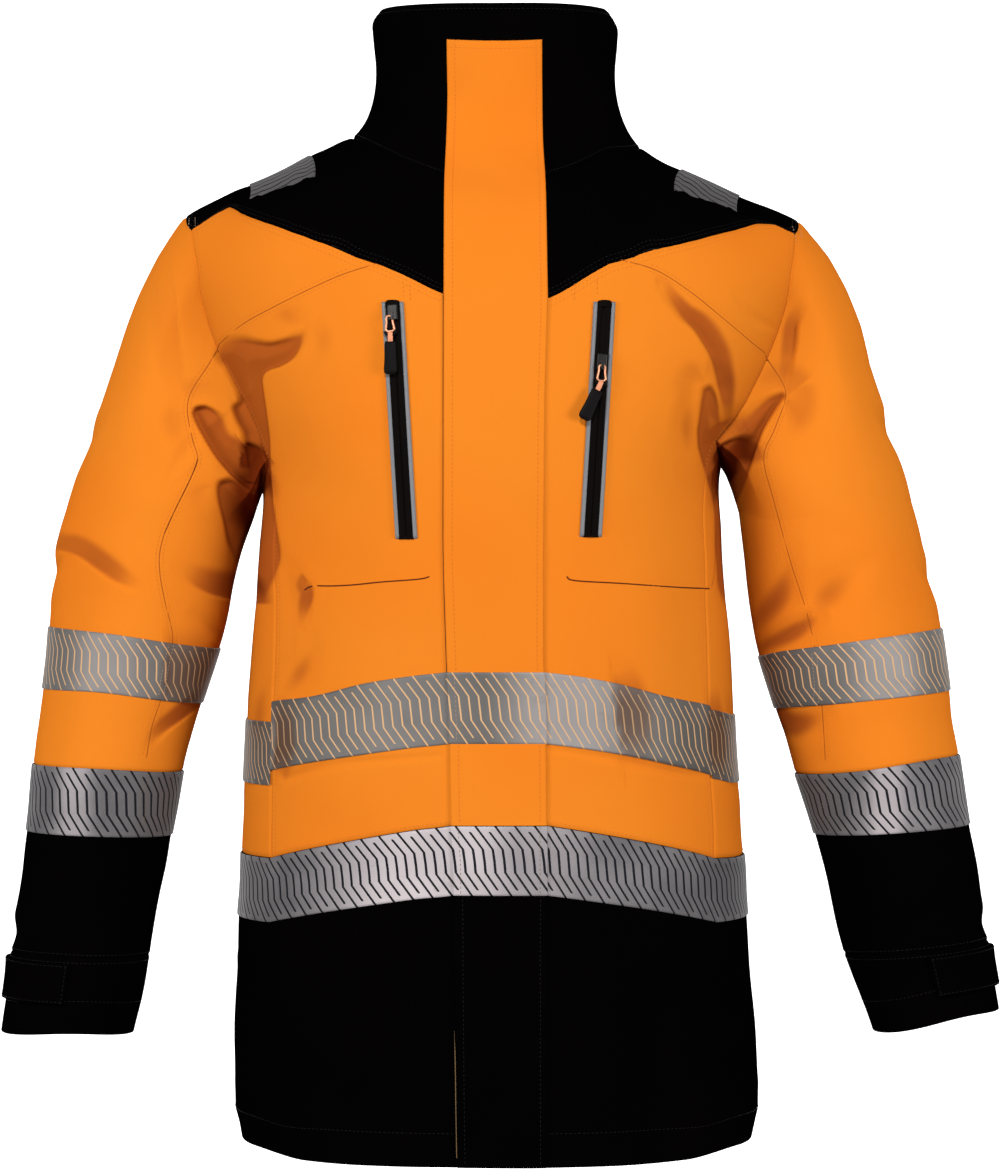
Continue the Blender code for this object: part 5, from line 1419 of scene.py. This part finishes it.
def panels(start, skirt_end, collar_top):
    """Form, rows and columns of the body's panels, for the cloth and again for its lining."""
    found = {}
    for side, turn in SIDES:
        found["front_" + side] = (turn(front_form), (0, FRONT_LAST), (start, FRONT_COLUMNS))
        found["side_" + side] = (turn(side_form), (0, FRONT_LAST - SIDE_CORNER_ROW), (0, SIDE_COLUMNS))
        found["skirt_front_" + side] = (turn(skirt_front_form), (0, skirt_end),
                                        (start, SKIRT_FRONT_COLUMNS))
    found["back"] = (WHOLE_BACK, (0, BACK_LAST), (-BACK_COLUMNS, BACK_COLUMNS))
    found["skirt_back"] = (WHOLE_SKIRT, (0, skirt_end), (-SKIRT_BACK_COLUMNS, SKIRT_BACK_COLUMNS))
    found["yoke"] = (both_sides(yoke_form, YOKE_LAST), (0, 1), AROUND)
    found["collar"] = (both_sides(collar_form, YOKE_LAST), (collar_top, 0), AROUND)
    return found


PANEL_OPTIONS = {   # by the first word of a panel's name
    "front": {"step": FINE_STEP, "seams": "tfe", "dense": ((0, 8), (3.5, 9))},
    "side": {"step": FINE_STEP}, "skirt": {"seams": "t"}, "back": {},
    "yoke": {"closed": True, "seams": "tf"}, "collar": {"closed": True, "seams": "f"},
}
for name, panel in panels(0.7, SKIRT_LAST, len(COLLAR_ROWS) - 1).items():
    word = name.split("_")[0]
    cloth = Cloth(*panel, **PANEL_OPTIONS[word])
    if word == "skirt":
        cloth.turned_in("f", HEM_BACK)
    elif word == "collar":
        cloth.turned_in("t", CUFF_BACK)
    make(name, cloth, "orange" if word in ("front", "side", "back") else "black")

# ---------------- the placket
make("placket_upper", Cloth(upper_placket(), (0, 1), (0, 1), lift=PLACKET_LIFT, thick=PLACKET_THICK,
                            seams="", raised="tse"),
     "orange")
make("placket_lower", Cloth(lower_placket(), (0, 1), (0, 1), lift=PLACKET_LIFT, thick=PLACKET_THICK,
                            seams="", raised="se").turned_in("f", HEM_BACK),
     "black")

# ---------------- the sleeves
def at_armhole(base, normals, t, k):
    """The sleeve's cloth leaves the armhole with the body's own direction."""
    share = ease(0.0, 0.22, t)[:, None, None]
    return unit(mix(body_normals(base[:1]), normals, share))


for side, form in SLEEVES.items():
    make("sleeve_" + side, Cloth(form, (0, SLEEVE_TAPE_2), (0, 1), FINE_STEP, closed=True, seams="tf",
                                 blend=at_armhole, dense=((0.05, 4.5), (0.2, 0.5))), "orange")
    make("lower_sleeve_" + side, Cloth(form, (SLEEVE_TAPE_2, CUFF_ROW), (0, 1), closed=True,
                                       seams="tf"), "black")
    make("cuff_" + side, Cloth(form, (CUFF_ROW, SLEEVE_END), (0, 1), closed=True,
                               seams="t").turned_in("f", CUFF_BACK), "black")
    tape("sleeve_tape_1_" + side, form, (SLEEVE_TAPE_1, SLEEVE_TAPE_1 + 1), (0, 1),
         "sleeve_" + side, "tape_on_orange", closed=True)
    tape("sleeve_tape_2_" + side, form, (SLEEVE_TAPE_2, SLEEVE_TAPE_2 + 1), (0, 1),
         "lower_sleeve_" + side, "tape_on_black", closed=True)

# ---------------- the linings
def line_with(name, form, rows, columns, **options):
    """A lining under the cloth of this name."""
    cloth = Cloth(form, rows, columns, LINING_STEP, seams="", lining=True, **options)
    cloth_piece(cloth, "lining", "lining_" + name, [])


for name, panel in panels(0.0, 3.4, 5.2).items():
    line_with(name, *panel, closed=name in ("yoke", "collar"))
for side, form in SLEEVES.items():
    line_with("sleeve_" + side, form, (0, SLEEVE_TAPE_2), (0, 1), closed=True, blend=at_armhole)
    line_with("lower_sleeve_" + side, form, (SLEEVE_TAPE_2, SLEEVE_END - 0.7), (0, 1),
              closed=True)

# ---------------- the tapes
SIDE_WAIST = FRONT_WAIST - SIDE_CORNER_ROW


def dropped(drop):
    """The side panel from a share of a row lower in front of its middle, rising to the rest behind."""
    def form(t, k):
        lower = drop * (1 - ease(SIDE_COLUMNS / 2, SIDE_COLUMNS, k))
        return side_form(t + lower * (1 + (t - SIDE_WAIST) / 9), k)
    return form


for side, turn in SIDES:
    tape("waist_tape_front_" + side, turn(front_form), (FRONT_WAIST, FRONT_WAIST + 1),
         (2.01, FRONT_COLUMNS), "front_" + side, "tape_on_orange")
    tape("waist_tape_side_" + side, turn(dropped(SIDE_TAPE_DROP[side])), (SIDE_WAIST, SIDE_WAIST + 1),
         (0, SIDE_COLUMNS), "side_" + side, "tape_on_orange")
    tape("hip_tape_front_" + side, turn(skirt_front_form), (0.01, 1), (2.01, SKIRT_FRONT_COLUMNS),
         "skirt_front_" + side, "tape_on_black")
tape("waist_tape_back", WHOLE_BACK, (BACK_WAIST, BACK_WAIST + 1),
     (-BACK_COLUMNS, BACK_COLUMNS), "back", "tape_on_orange")
tape("hip_tape_back", WHOLE_SKIRT, (0.01, 1), (-SKIRT_BACK_COLUMNS, SKIRT_BACK_COLUMNS),
     "skirt_back", "tape_on_black")
tape("waist_tape_placket", both_sides(front_form, 2), (FRONT_WAIST, FRONT_WAIST + 1), (-2, 2),
     "placket_upper", "tape_on_orange", lift=PLACKET_LIFT + PLACKET_THICK)
tape("hip_tape_placket", both_sides(skirt_front_form, 2), (0.01, 1), (-2, 2), "placket_lower",
     "tape_on_black", lift=PLACKET_LIFT + PLACKET_THICK)


# ---------------- the cuffs' tabs
for side, form in SLEEVES.items():
    make("cuff_tab_" + side, Cloth(form, TAB_ROWS, TAB_AROUND, lift=0.0012, thick=TAB_THICK, seams="",
                                   raised="tfse"), "black")

# ---------------- the tapes over the shoulders
SHOULDER_TAPE = (0.144, 0.189, -0.8, 0.82, 0.64)    # near, far, turns behind and in front (radians)
TAPE_NOTCHES = ((0.14, 0.03, 0.06), (0.42, 0.02, 0.05), (0.62, 0.024, 0.16), (0.88, 0.034, 0.05))


def shoulder_tape_form(t, k):
    near, far, back, front_near, front_far = SHOULDER_TAPE
    t, k = alike(t, k)
    ragged = sum(deep * np.exp(-(((t - at) / wide) ** 2)) for at, deep, wide in TAPE_NOTCHES)
    turn = mix(back + ragged * 0.8, mix(front_near, front_far, t) - ragged, k)
    across = mix(near, far, t) - mix(0.008, 0.0045, t) * ease(0.5, 1.0, k)
    return over_shoulder(np.where(turn < 0, 1, -1), across, np.abs(turn))


for side, turn in SIDES:
    tape("shoulder_tape_" + side, turn(shoulder_tape_form), (0, 1), (0, 1), "yoke", "tape_dull",
         lift=0.0004, step=0.0022)


# ---------------- the chest zips
def zip_form(side):
    """Down the zip (0 to 1) and across it from its middle line, in metres."""
    top_x, top_z, foot_x, foot_z, _ = ZIPS[side]

    def form(t, k):
        t, k = alike(t, k)
        z = mix(top_z, foot_z, t)
        x = mix(top_x, foot_x, t) + k
        found = on_body(-1, np.abs(x), z)
        found[..., 0] *= np.sign(top_x)
        return found
    return form


ZIP_REACH = 0.0054          # half width of the tape, which goes on under the reflective edges
ZIP_GROOVE = 0.00045
ZIP_OPEN = 0.0019           # half width of the open part above a slider
TUBE_SIDES = 12


ZIP_FLOOR = 0.0004          # height of the tape and its reflective edges over the cloth's form
LIP_HIGH, LIP_ROUND, ZIP_EDGE_ROUND = 0.0011, 0.0012, 0.0006
PIPING_ENDS, PIPING_HIGH, PIPING_FADE = (-0.012, 1.008), 0.0018, 0.01
ZIP_COVERS = ((-0.02, 0.016, 0.0066, 0.0016),      # start, end, half width, height
              (0.992, 1.01, 0.0058, 0.0012))
COVER_FLOOR = 0.0006


def lifted(form, t, k, height):
    """Points of a form, each lifted off the body by its height."""
    base = form(t[:, None], k)
    return base + body_normals(base) * height[..., None]


def zip_strip(side):
    """Two lips of coated tape that meet in the middle, open above the slider."""
    form, share = zip_form(side), ZIPS[side][4]
    t, k = np.linspace(0, 1, 190), np.linspace(-ZIP_REACH, ZIP_REACH, 41)
    away = np.abs(k)[None, :]
    gape = ZIP_OPEN * np.sin(math.pi * np.clip(t / max(share, 0.12), 0, 1)) ** 0.7
    gape = np.where(t < share, gape, 0.0)[:, None] if share > 0.1 else np.zeros((len(t), 1))
    lips = np.sqrt(np.clip((away - gape) / LIP_ROUND, 0, 1))
    groove = np.where(away < gape + ZIP_GROOVE, 0.0, 1.0)
    edge = np.sqrt(np.clip((ZIP_REACH - away) / ZIP_EDGE_ROUND, 0, 1))
    height = ZIP_FLOOR + LIP_HIGH * np.minimum(lips * np.maximum(groove, 0.25), edge)
    grid = lifted(form, t, k[None, :], height)
    piece = mesh_object("zip_tape_" + side, grid.reshape(-1, 3), turned_quads(len(t), len(k)),
                        FINISH["zip"])
    own(piece, "zip_tape", "zip_strip_" + side)


def zip_pipings(side):
    """Two reflective edges that narrow a little towards their ends."""
    form, (start, end) = zip_form(side), PIPING_ENDS
    t = np.linspace(start, end, 150)
    for place, near, far in (("minus", -PIPING_FAR, -PIPING_NEAR), ("plus", PIPING_NEAR, PIPING_FAR)):
        share = np.abs(np.linspace(-1, 1, 9))[None, :]
        ends = np.sqrt(np.clip(np.minimum(t - start, end - t) / PIPING_FADE, 0, 1))[:, None]
        height = ZIP_FLOOR + PIPING_HIGH * np.sqrt(1 - share**2.6) * ends
        grid = lifted(form, t, np.linspace(near, far, 9)[None, :], height)
        name = f"zip_piping_{place}_{side}"
        piece = mesh_object(name + "_film", grid.reshape(-1, 3), turned_quads(*grid.shape[:2]),
                            FINISH["piping"])
        own(piece, "reflective_tape", name)


def zip_ends(side):
    """A dark rounded flap over the zip's top and a bar over its foot."""
    form = zip_form(side)
    gathered, faces, count = [], [], 0
    for start, end, half, high in ZIP_COVERS:
        t, k = np.linspace(start, end, 14), np.linspace(-1, 1, 21)[None, :]
        place = np.linspace(0, 1, 14)
        curve = np.sqrt(np.clip(1 - (1 - place) ** 2.2, 0, 1)) if start < 0 else np.ones(14)
        rise = np.sqrt(np.clip(1 - np.abs(k) ** 4, 0, 1))
        rise = rise * np.sqrt(np.clip(np.minimum(place, 1 - place) / 0.18, 0, 1))[:, None]
        grid = lifted(form, t, k * half * (0.35 + 0.65 * curve[:, None]), COVER_FLOOR + high * rise)
        faces.append(turned_quads(*grid.shape[:2], count))
        gathered.append(grid.reshape(-1, 3))
        count += len(gathered[-1])
    piece = mesh_object("zip_ends_" + side, np.concatenate(gathered), np.concatenate(faces),
                        FINISH["zip"])
    own(piece, "zip_tape")


def tube(name, path, radius, finish, closed=True):
    """A round wire along a path of points."""
    if closed:
        ways = unit(np.roll(path, -1, axis=0) - np.roll(path, 1, axis=0))
    else:
        ways = unit(np.gradient(path, axis=0))
    across = unit(np.cross(ways, np.cross(path[1] - path[0], path[len(path) // 2] - path[0])))
    up = np.cross(ways, across)
    turns = np.linspace(0, 2 * math.pi, TUBE_SIDES, endpoint=False)
    rings = path[:, None] + radius * (across[:, None] * np.cos(turns)[None, :, None]
                                      + up[:, None] * np.sin(turns)[None, :, None])
    faces = ring_quads(len(path) if closed else len(path) - 1, len(path), TUBE_SIDES)
    return mesh_object(name, rings.reshape(-1, 3), faces, finish)


def pillow(name, outline, thick, place, finish, sides=48, ribs=0.0):
    """A flat piece with rounded faces from half widths by depth: rows of (down, half_width)."""
    outline = np.array(outline)
    down = np.linspace(outline[0, 0], outline[-1, 0], 40)
    half = smooth(outline[:, 0], outline[:, 1], down)
    turns = np.linspace(0, 2 * math.pi, sides, endpoint=False)
    cos, sin = np.cos(turns), np.sin(turns)
    x = np.sign(cos) * np.abs(cos) ** 0.5
    y = np.sign(sin) * np.abs(sin) ** 0.8
    swell = np.minimum(1, np.sqrt(np.clip(np.minimum(down - down[0], down[-1] - down) / thick, 0.02, 1)))
    depth = thick / 2 * swell * (1 + ribs * np.sin(2 * math.pi * down / RIB_PITCH))
    local = np.stack(np.broadcast_arrays(x[None] * half[:, None], y[None] * depth[:, None],
                                         -down[:, None]), axis=-1)
    vertices = place(local)
    faces = ring_quads(len(down) - 1, len(down), sides)
    flat = vertices.reshape(-1, 3)
    first, last = np.arange(sides), np.arange(sides) + (len(down) - 1) * sides
    middles = np.array([flat[first].mean(axis=0), flat[last].mean(axis=0)])
    top = np.stack((np.full(sides, len(flat)), first, np.roll(first, -1)), axis=1)
    foot = np.stack((np.full(sides, len(flat) + 1), np.roll(last, -1), last), axis=1)
    triangles = np.concatenate((faces[:, (0, 1, 2)], faces[:, (0, 2, 3)], top, foot))
    return mesh_object(name, np.concatenate((flat, middles)), triangles, finish)


LINK = ((0.0016, 0.0002), (0.0022, 0.0012), (0.0024, 0.005), (0.003, 0.0085), (0.0031, 0.0104),
        (0.0016, 0.0118))   # half width by distance down from the slider's bridge
LINK_WIRE = 0.00082
CORD = ((-0.0006, 0.0016), (0.001, 0.0019), (0.0072, 0.0019))     # (down, half width)
TAB = ((0.0064, 0.0036), (0.0078, 0.0042), (0.02, 0.0046), (0.0275, 0.005), (0.0303, 0.0045),
       (0.0315, 0.0026))
CORD_THICK, TAB_PLATE, CORD_LOOP = 0.0021, 0.0026, 0.00085
RIB_PITCH = 0.0016
PULL_LEAN = {"right": math.radians(3.0), "left": math.radians(22.0)}
PULL_TILT = math.radians(3.0)
PULL_ASIDE = {"right": 0.0022, "left": 0.0002}


def pull(side):
    """The link, its cord and the rubber tab, hanging from the slider a little to the wearer's right."""
    hinge = next(j for j in frame["joints"] if j["name"].endswith(side))
    start, axis = np.array(hinge["pos_m"], float), unit(np.array(hinge["axis"], float))
    right = axis * np.sign(axis[0])
    top_x, top_z, foot_x, foot_z, _ = ZIPS[side]
    form = zip_form(side)
    up = unit(form(0.3, 0.0) - form(0.5, 0.0))
    up = unit(up - right * (up @ right))
    out = np.cross(right, up)
    out = out * -np.sign(out[1])
    turned = up * math.cos(PULL_TILT) - out * math.sin(PULL_TILT)
    out = out * math.cos(PULL_TILT) + up * math.sin(PULL_TILT)

    def at(x, y, z, lean=0.0, drop=0.0):
        """x to the viewer's right, y towards the cloth and z up, in the pull's own frame."""
        x, z = x * math.cos(lean) + z * math.sin(lean), z * math.cos(lean) - x * math.sin(lean)
        x = x - PULL_ASIDE[side]
        return start + (x[..., None] * right - y[..., None] * out + (z - drop)[..., None] * turned)

    half = np.array(LINK)
    down = np.linspace(half[0, 1], half[-1, 1], 22)
    width = smooth(half[:, 1], half[:, 0], down)
    x, z = np.r_[width, -width[::-1]], -np.r_[down, down[::-1]]
    link = tube("link_" + side, at(x, x * 0, z), LINK_WIRE, FINISH["metal"])
    body = "pull_" + side
    own(link, "pull_metal", "pull_link_" + side, body=body)
    lean, drop = PULL_LEAN[side], half[-1, 1] + LINK_WIRE
    arc = np.radians(np.linspace(200, 340, 15))
    path = at(0.0047 * np.cos(arc), arc * 0 + 0.0002, 0.0052 * np.sin(arc) - 0.0098)
    loop = tube("cord_loop_" + side, path, CORD_LOOP, FINISH["rubber"], closed=False)
    own(loop, "pull_rubber", body=body)

    def lower(local):
        return at(local[..., 0], local[..., 1], local[..., 2], lean, drop)

    neck = pillow("cord_" + side, CORD, CORD_THICK, lower, FINISH["cord"], ribs=0.05)
    own(neck, "pull_cord", "pull_neck_" + side, body=body)
    tab = pillow("tab_" + side, TAB, TAB_PLATE, lower, FINISH["rubber"], sides=64)
    own(tab, "pull_rubber", "pull_tab_" + side, body=body)


for side in ZIPS:
    zip_strip(side)
    zip_pipings(side)
    zip_ends(side)
    pull(side)
    node = frame["nodes"]["slider_" + side]
    node.data.materials.clear()
    node.data.materials.append(FINISH["slider"])


# ---------------- seams and stitching
outer = [MADE[name] for name in MADE if "tape" not in name and "tab" not in name]
skin = Skin(outer)
SEAM_LINES = (  # (across, height) in millimetres, seen from the front
    (94, -96, 120, -103, 145, -118, 170, -137, 193, -154, 206, -162),
    (-89, -99, -115, -107, -143, -119, -169, -131, -190, -141, -211, -155),
    (206, -163, 219, -183, 222, -196, 213, -221, 205, -242, 213, -275, 226, -323, 237, -358, 244, -389,
     249, -431, 252, -473),
    (-211, -155, -220, -171, -231, -188, -235, -199, -235, -210, -231, -229, -227, -243, -232, -257,
     -244, -282, -253, -303, -256, -324, -252, -351, -246, -380, -252, -408, -255, -426, -262, -447,
     -266, -471),
    (165, -340, 167, -332, 169, -305, 168, -259),
)
# Painted shadows: a dark line along each pocket's edge, and one beside the placket's left edge where the
# placket shades the cloth.
POCKET_LINES = (
    (-144, -343, -138, -340, -122, -340, -104, -339, -85, -337, -57, -335, -49, -333),
    (53, -333, 59, -336, 93, -338, 137, -341, 163, -342),
)
PLACKET_SHADE = (-38.6, -120, -38.6, -250, -38.5, -320, -36.6, -385, -34.9, -436)
STITCH_LINES = (
    (-69, -112, -68, -128), (-64, -111, -63, -128), (59, -114, 59, -128), (76, -106, 76, -126),
)
BACK_SEAMS = ((-190, -128, -120, -150, -60, -163, 0, -168, 60, -163, 120, -150, 190, -128),)
CLEAR_OF_YOKE = 14          # points of a line left out beside the yoke
CROSSING_ASIDE, SEAM_ASIDE = 1.8, 2.6   # from a seam to the stitches beside it, in millimetres
TAPE_ROW = 0.0055           # from the placket's edge to the stitches over its tapes
FINE_THREAD, THICK_THREAD, SHORT_STITCH = 0.00026, 0.00034, 0.0026
FLAT_RIBBON = ((-0.00034, 0.0001), (0.0, 0.00018), (0.00034, 0.0001))


def ribbon(wide, high):
    """The flat strip's cross-section, wider and further out."""
    return tuple((a * wide, b + high) for a, b in FLAT_RIBBON)


# A stretch of the sleeve's seam that lies in shade, painted darker.
SEAM_SHADOWS = ((-227, -243, -232, -257, -244, -282, -252, -300),)
PALE_LINES = (
    (-237, -55, -237, -65), (-232, -55, -231, -65), (229, -62, 232, -76), (235, -63, 237, -73),
)
TAPE_STITCHES = (           # where the sleeves' seams cross the tapes
    ((-246, -381, -250, -396, -253, -412, -255, -425), "pale"),
    ((243, -391, 244, -404, 245, -418, 244, -433), "pale"),
    ((-267, -481, -268, -500, -270, -524), "gold"),
    ((250, -486, 252, -504, 253, -524), "gold"),
)
# Painted highlight: a thin strip in the gold thread's colour along the lower placket's left edge.
EDGE_HIGHLIGHT = (-30.0, -670, -29.4, -700, -29.0, -730, -28.4, -764)
# Seam lines in the cloth's shaded colour, and painted shadow lines for a seam in shade, the pockets'
# edges and the placket's edge.
seams = Ribbons("shaded_seams", FINISH["seam"])
painted_shadow_lines = Ribbons("painted_shadow_lines", FINISH["painted_shadow"])
for path in SEAM_SHADOWS:
    painted_shadow_lines.lay(smoothed(skin.line(path)), ribbon(0.8, 0.00012))
for path in SEAM_LINES:
    seams.lay(smoothed(skin.line(path)), FLAT_RIBBON)
for path in (*POCKET_LINES, PLACKET_SHADE):
    painted_shadow_lines.lay(smoothed(skin.line(path)), ribbon(1.5, 0.00012))
for path in BACK_SEAMS:
    seams.lay(smoothed(skin.line(path, "back")), FLAT_RIBBON)

pale_thread = Thread("stitching_pale", FINISH["pale"])
gold_thread = Thread("stitching_gold", FINISH["gold"])
for path in PALE_LINES:
    pale_thread.sew(skin.line(path, step=0.0008), radius=THICK_THREAD)
# The painted highlight along the lower placket's edge.
edge_line = Ribbons("painted_edge_highlight", FINISH["gold"])
edge_line.lay(smoothed(skin.line(EDGE_HIGHLIGHT)), ribbon(1.0, 0.0003))
own(edge_line.piece(), "black_cloth")
for edge in "se":
    pale_thread.sew(CLOTHS["waist_tape_placket"].edge_line(edge, TAPE_ROW))
    gold_thread.sew(CLOTHS["hip_tape_placket"].edge_line(edge, TAPE_ROW), radius=FINE_THREAD)
tape_skin = Skin([MADE[name] for name in MADE if "sleeve_tape" in name])
for path, finish in TAPE_STITCHES:
    for aside in (-CROSSING_ASIDE, CROSSING_ASIDE):
        beside = np.array(path, float).reshape(-1, 2) + (aside, 0)
        line = tape_skin.line(beside.ravel(), step=0.0012)
        (pale_thread if finish == "pale" else gold_thread).sew(line, pitch=SHORT_STITCH)
for thread in (pale_thread, gold_thread):
    own(thread.piece(), "black_cloth")

orange_thread = Thread("stitching_orange", FINISH["thread_orange"])
black_thread = Thread("stitching_black", FINISH["thread_black"])
for path in STITCH_LINES:
    orange_thread.sew(smoothed(skin.line(path, step=0.0015)))
for path in SEAM_LINES[:4]:
    for aside in (-SEAM_ASIDE, SEAM_ASIDE):
        beside = np.array(path, float).reshape(-1, 2)
        way = unit(np.gradient(beside, axis=0))
        beside = beside + np.stack((-way[:, 1], way[:, 0]), axis=1) * aside
        places, normals = smoothed(skin.line(beside.ravel(), step=0.0015))
        orange_thread.sew((places[CLEAR_OF_YOKE:], normals[CLEAR_OF_YOKE:]))

# Rows of stitches: the piece, its edge and how far in they run.
SIDE_ROWS = (("front_", "t", 0.0028), ("front_", "t", 0.0062), ("front_", "e", 0.003),
             ("front_", "e", 0.0064), ("front_", "f", 0.0028), ("side_", "f", 0.0028),
             ("cuff_", "t", 0.0035), ("cuff_", "f", 0.024), ("lower_sleeve_", "f", 0.0028),
             ("skirt_front_", "f", 0.024), *(("cuff_tab_", edge, 0.0022) for edge in "tfse"))
WHOLE_ROWS = (("back", "t", 0.003), ("yoke", "f", 0.003), ("back", "t", 0.0064),
              ("yoke", "f", 0.0064), ("skirt_back", "f", 0.024), ("collar", "t", 0.005),
              ("collar", "f", 0.003), ("placket_upper", "s", 0.0068), ("placket_lower", "s", 0.0068),
              ("placket_upper", "e", 0.0052), ("placket_lower", "e", 0.0052),
              ("placket_upper", "t", 0.006))
rows = [(name + side, edge, distance) for side in ZIPS for name, edge, distance in SIDE_ROWS]
for name, edge, distance in (*rows, *WHOLE_ROWS):
    orange = MADE[name].data.materials[0] == FINISH["orange"]
    (orange_thread if orange else black_thread).sew(CLOTHS[name].edge_line(edge, distance))
for thread in (orange_thread, black_thread):
    own(thread.piece(), "orange_cloth" if thread is orange_thread else "black_cloth")
for ribbons in (seams, painted_shadow_lines):
    own(ribbons.piece(), "orange_cloth")


# ---------------- the studio
def sweep(name, profile, reach, finish):
    """A sheet of the studio from its (y, height) points."""
    across = np.linspace(-reach, reach, 7)
    vertices = np.array([(x, y, z) for y, z in profile for x in across])
    mesh_object(name, vertices, quads(len(profile), len(across)), finish)


def studio():
    """A pale floor and a glowing wall, which stands far back so that the jacket shows from behind too."""
    floor, start, wall, turn = -1.45, 3.5, 9.0, 2.5
    curve = [(wall - turn + turn * math.sin(a), floor + turn * (1 - math.cos(a)))
             for a in np.radians(np.linspace(0, 90, 16))]
    sweep("studio_floor", [(-0.3, floor), (start, floor)], 9.0, FINISH["paper"])
    sweep("studio_wall", [(start, floor), *curve, (wall, 14.0)], 16.0, FINISH["glow"])


LAMPS = (  # name, place, size, power
    ("lamp_over", (-0.4, -5.2, 2.6), 1.0, 358.0),
    ("lamp_left", (-3.8, -3.0, -0.3), 2.0, 169.0),
    ("lamp_right", (3.8, -3.0, -0.3), 2.0, 170.0),
)


LAMP_TARGET = (0.0, 0.0, -0.45)
AIR_LIGHT = 0.16
CAMERA_PLACE, CAMERA_LENS, SENSOR = (0.0035, -3.0, -0.3389), 118.45, 36.0


def lamps():
    for name, place, size, power in LAMPS:
        data = bpy.data.lights.new(name, "AREA")
        data.shape, data.size, data.energy = "DISK", size, power
        lamp = bpy.data.objects.new(name, data)
        lamp.location = place
        lamp.rotation_euler = (Vector(LAMP_TARGET) - Vector(place)).to_track_quat("-Z", "Y").to_euler()
        bpy.context.scene.collection.objects.link(lamp)
    world = bpy.data.worlds.new("studio_air")
    bpy.context.scene.world = world
    world.use_nodes = True
    air = world.node_tree.nodes["Background"].inputs
    air[0].default_value, air[1].default_value = (1.0, 1.0, 1.0, 1.0), AIR_LIGHT


def camera():
    data = bpy.data.cameras.new("camera")
    data.lens, data.sensor_width, data.sensor_fit = CAMERA_LENS, SENSOR, "AUTO"
    made = bpy.data.objects.new("camera", data)
    made.location, made.rotation_euler = CAMERA_PLACE, (math.pi / 2, 0.0, 0.0)
    bpy.context.scene.collection.objects.link(made)
    bpy.context.scene.camera = made
    bpy.context.scene.view_settings.view_transform = "Standard"


studio()
lamps()
camera()
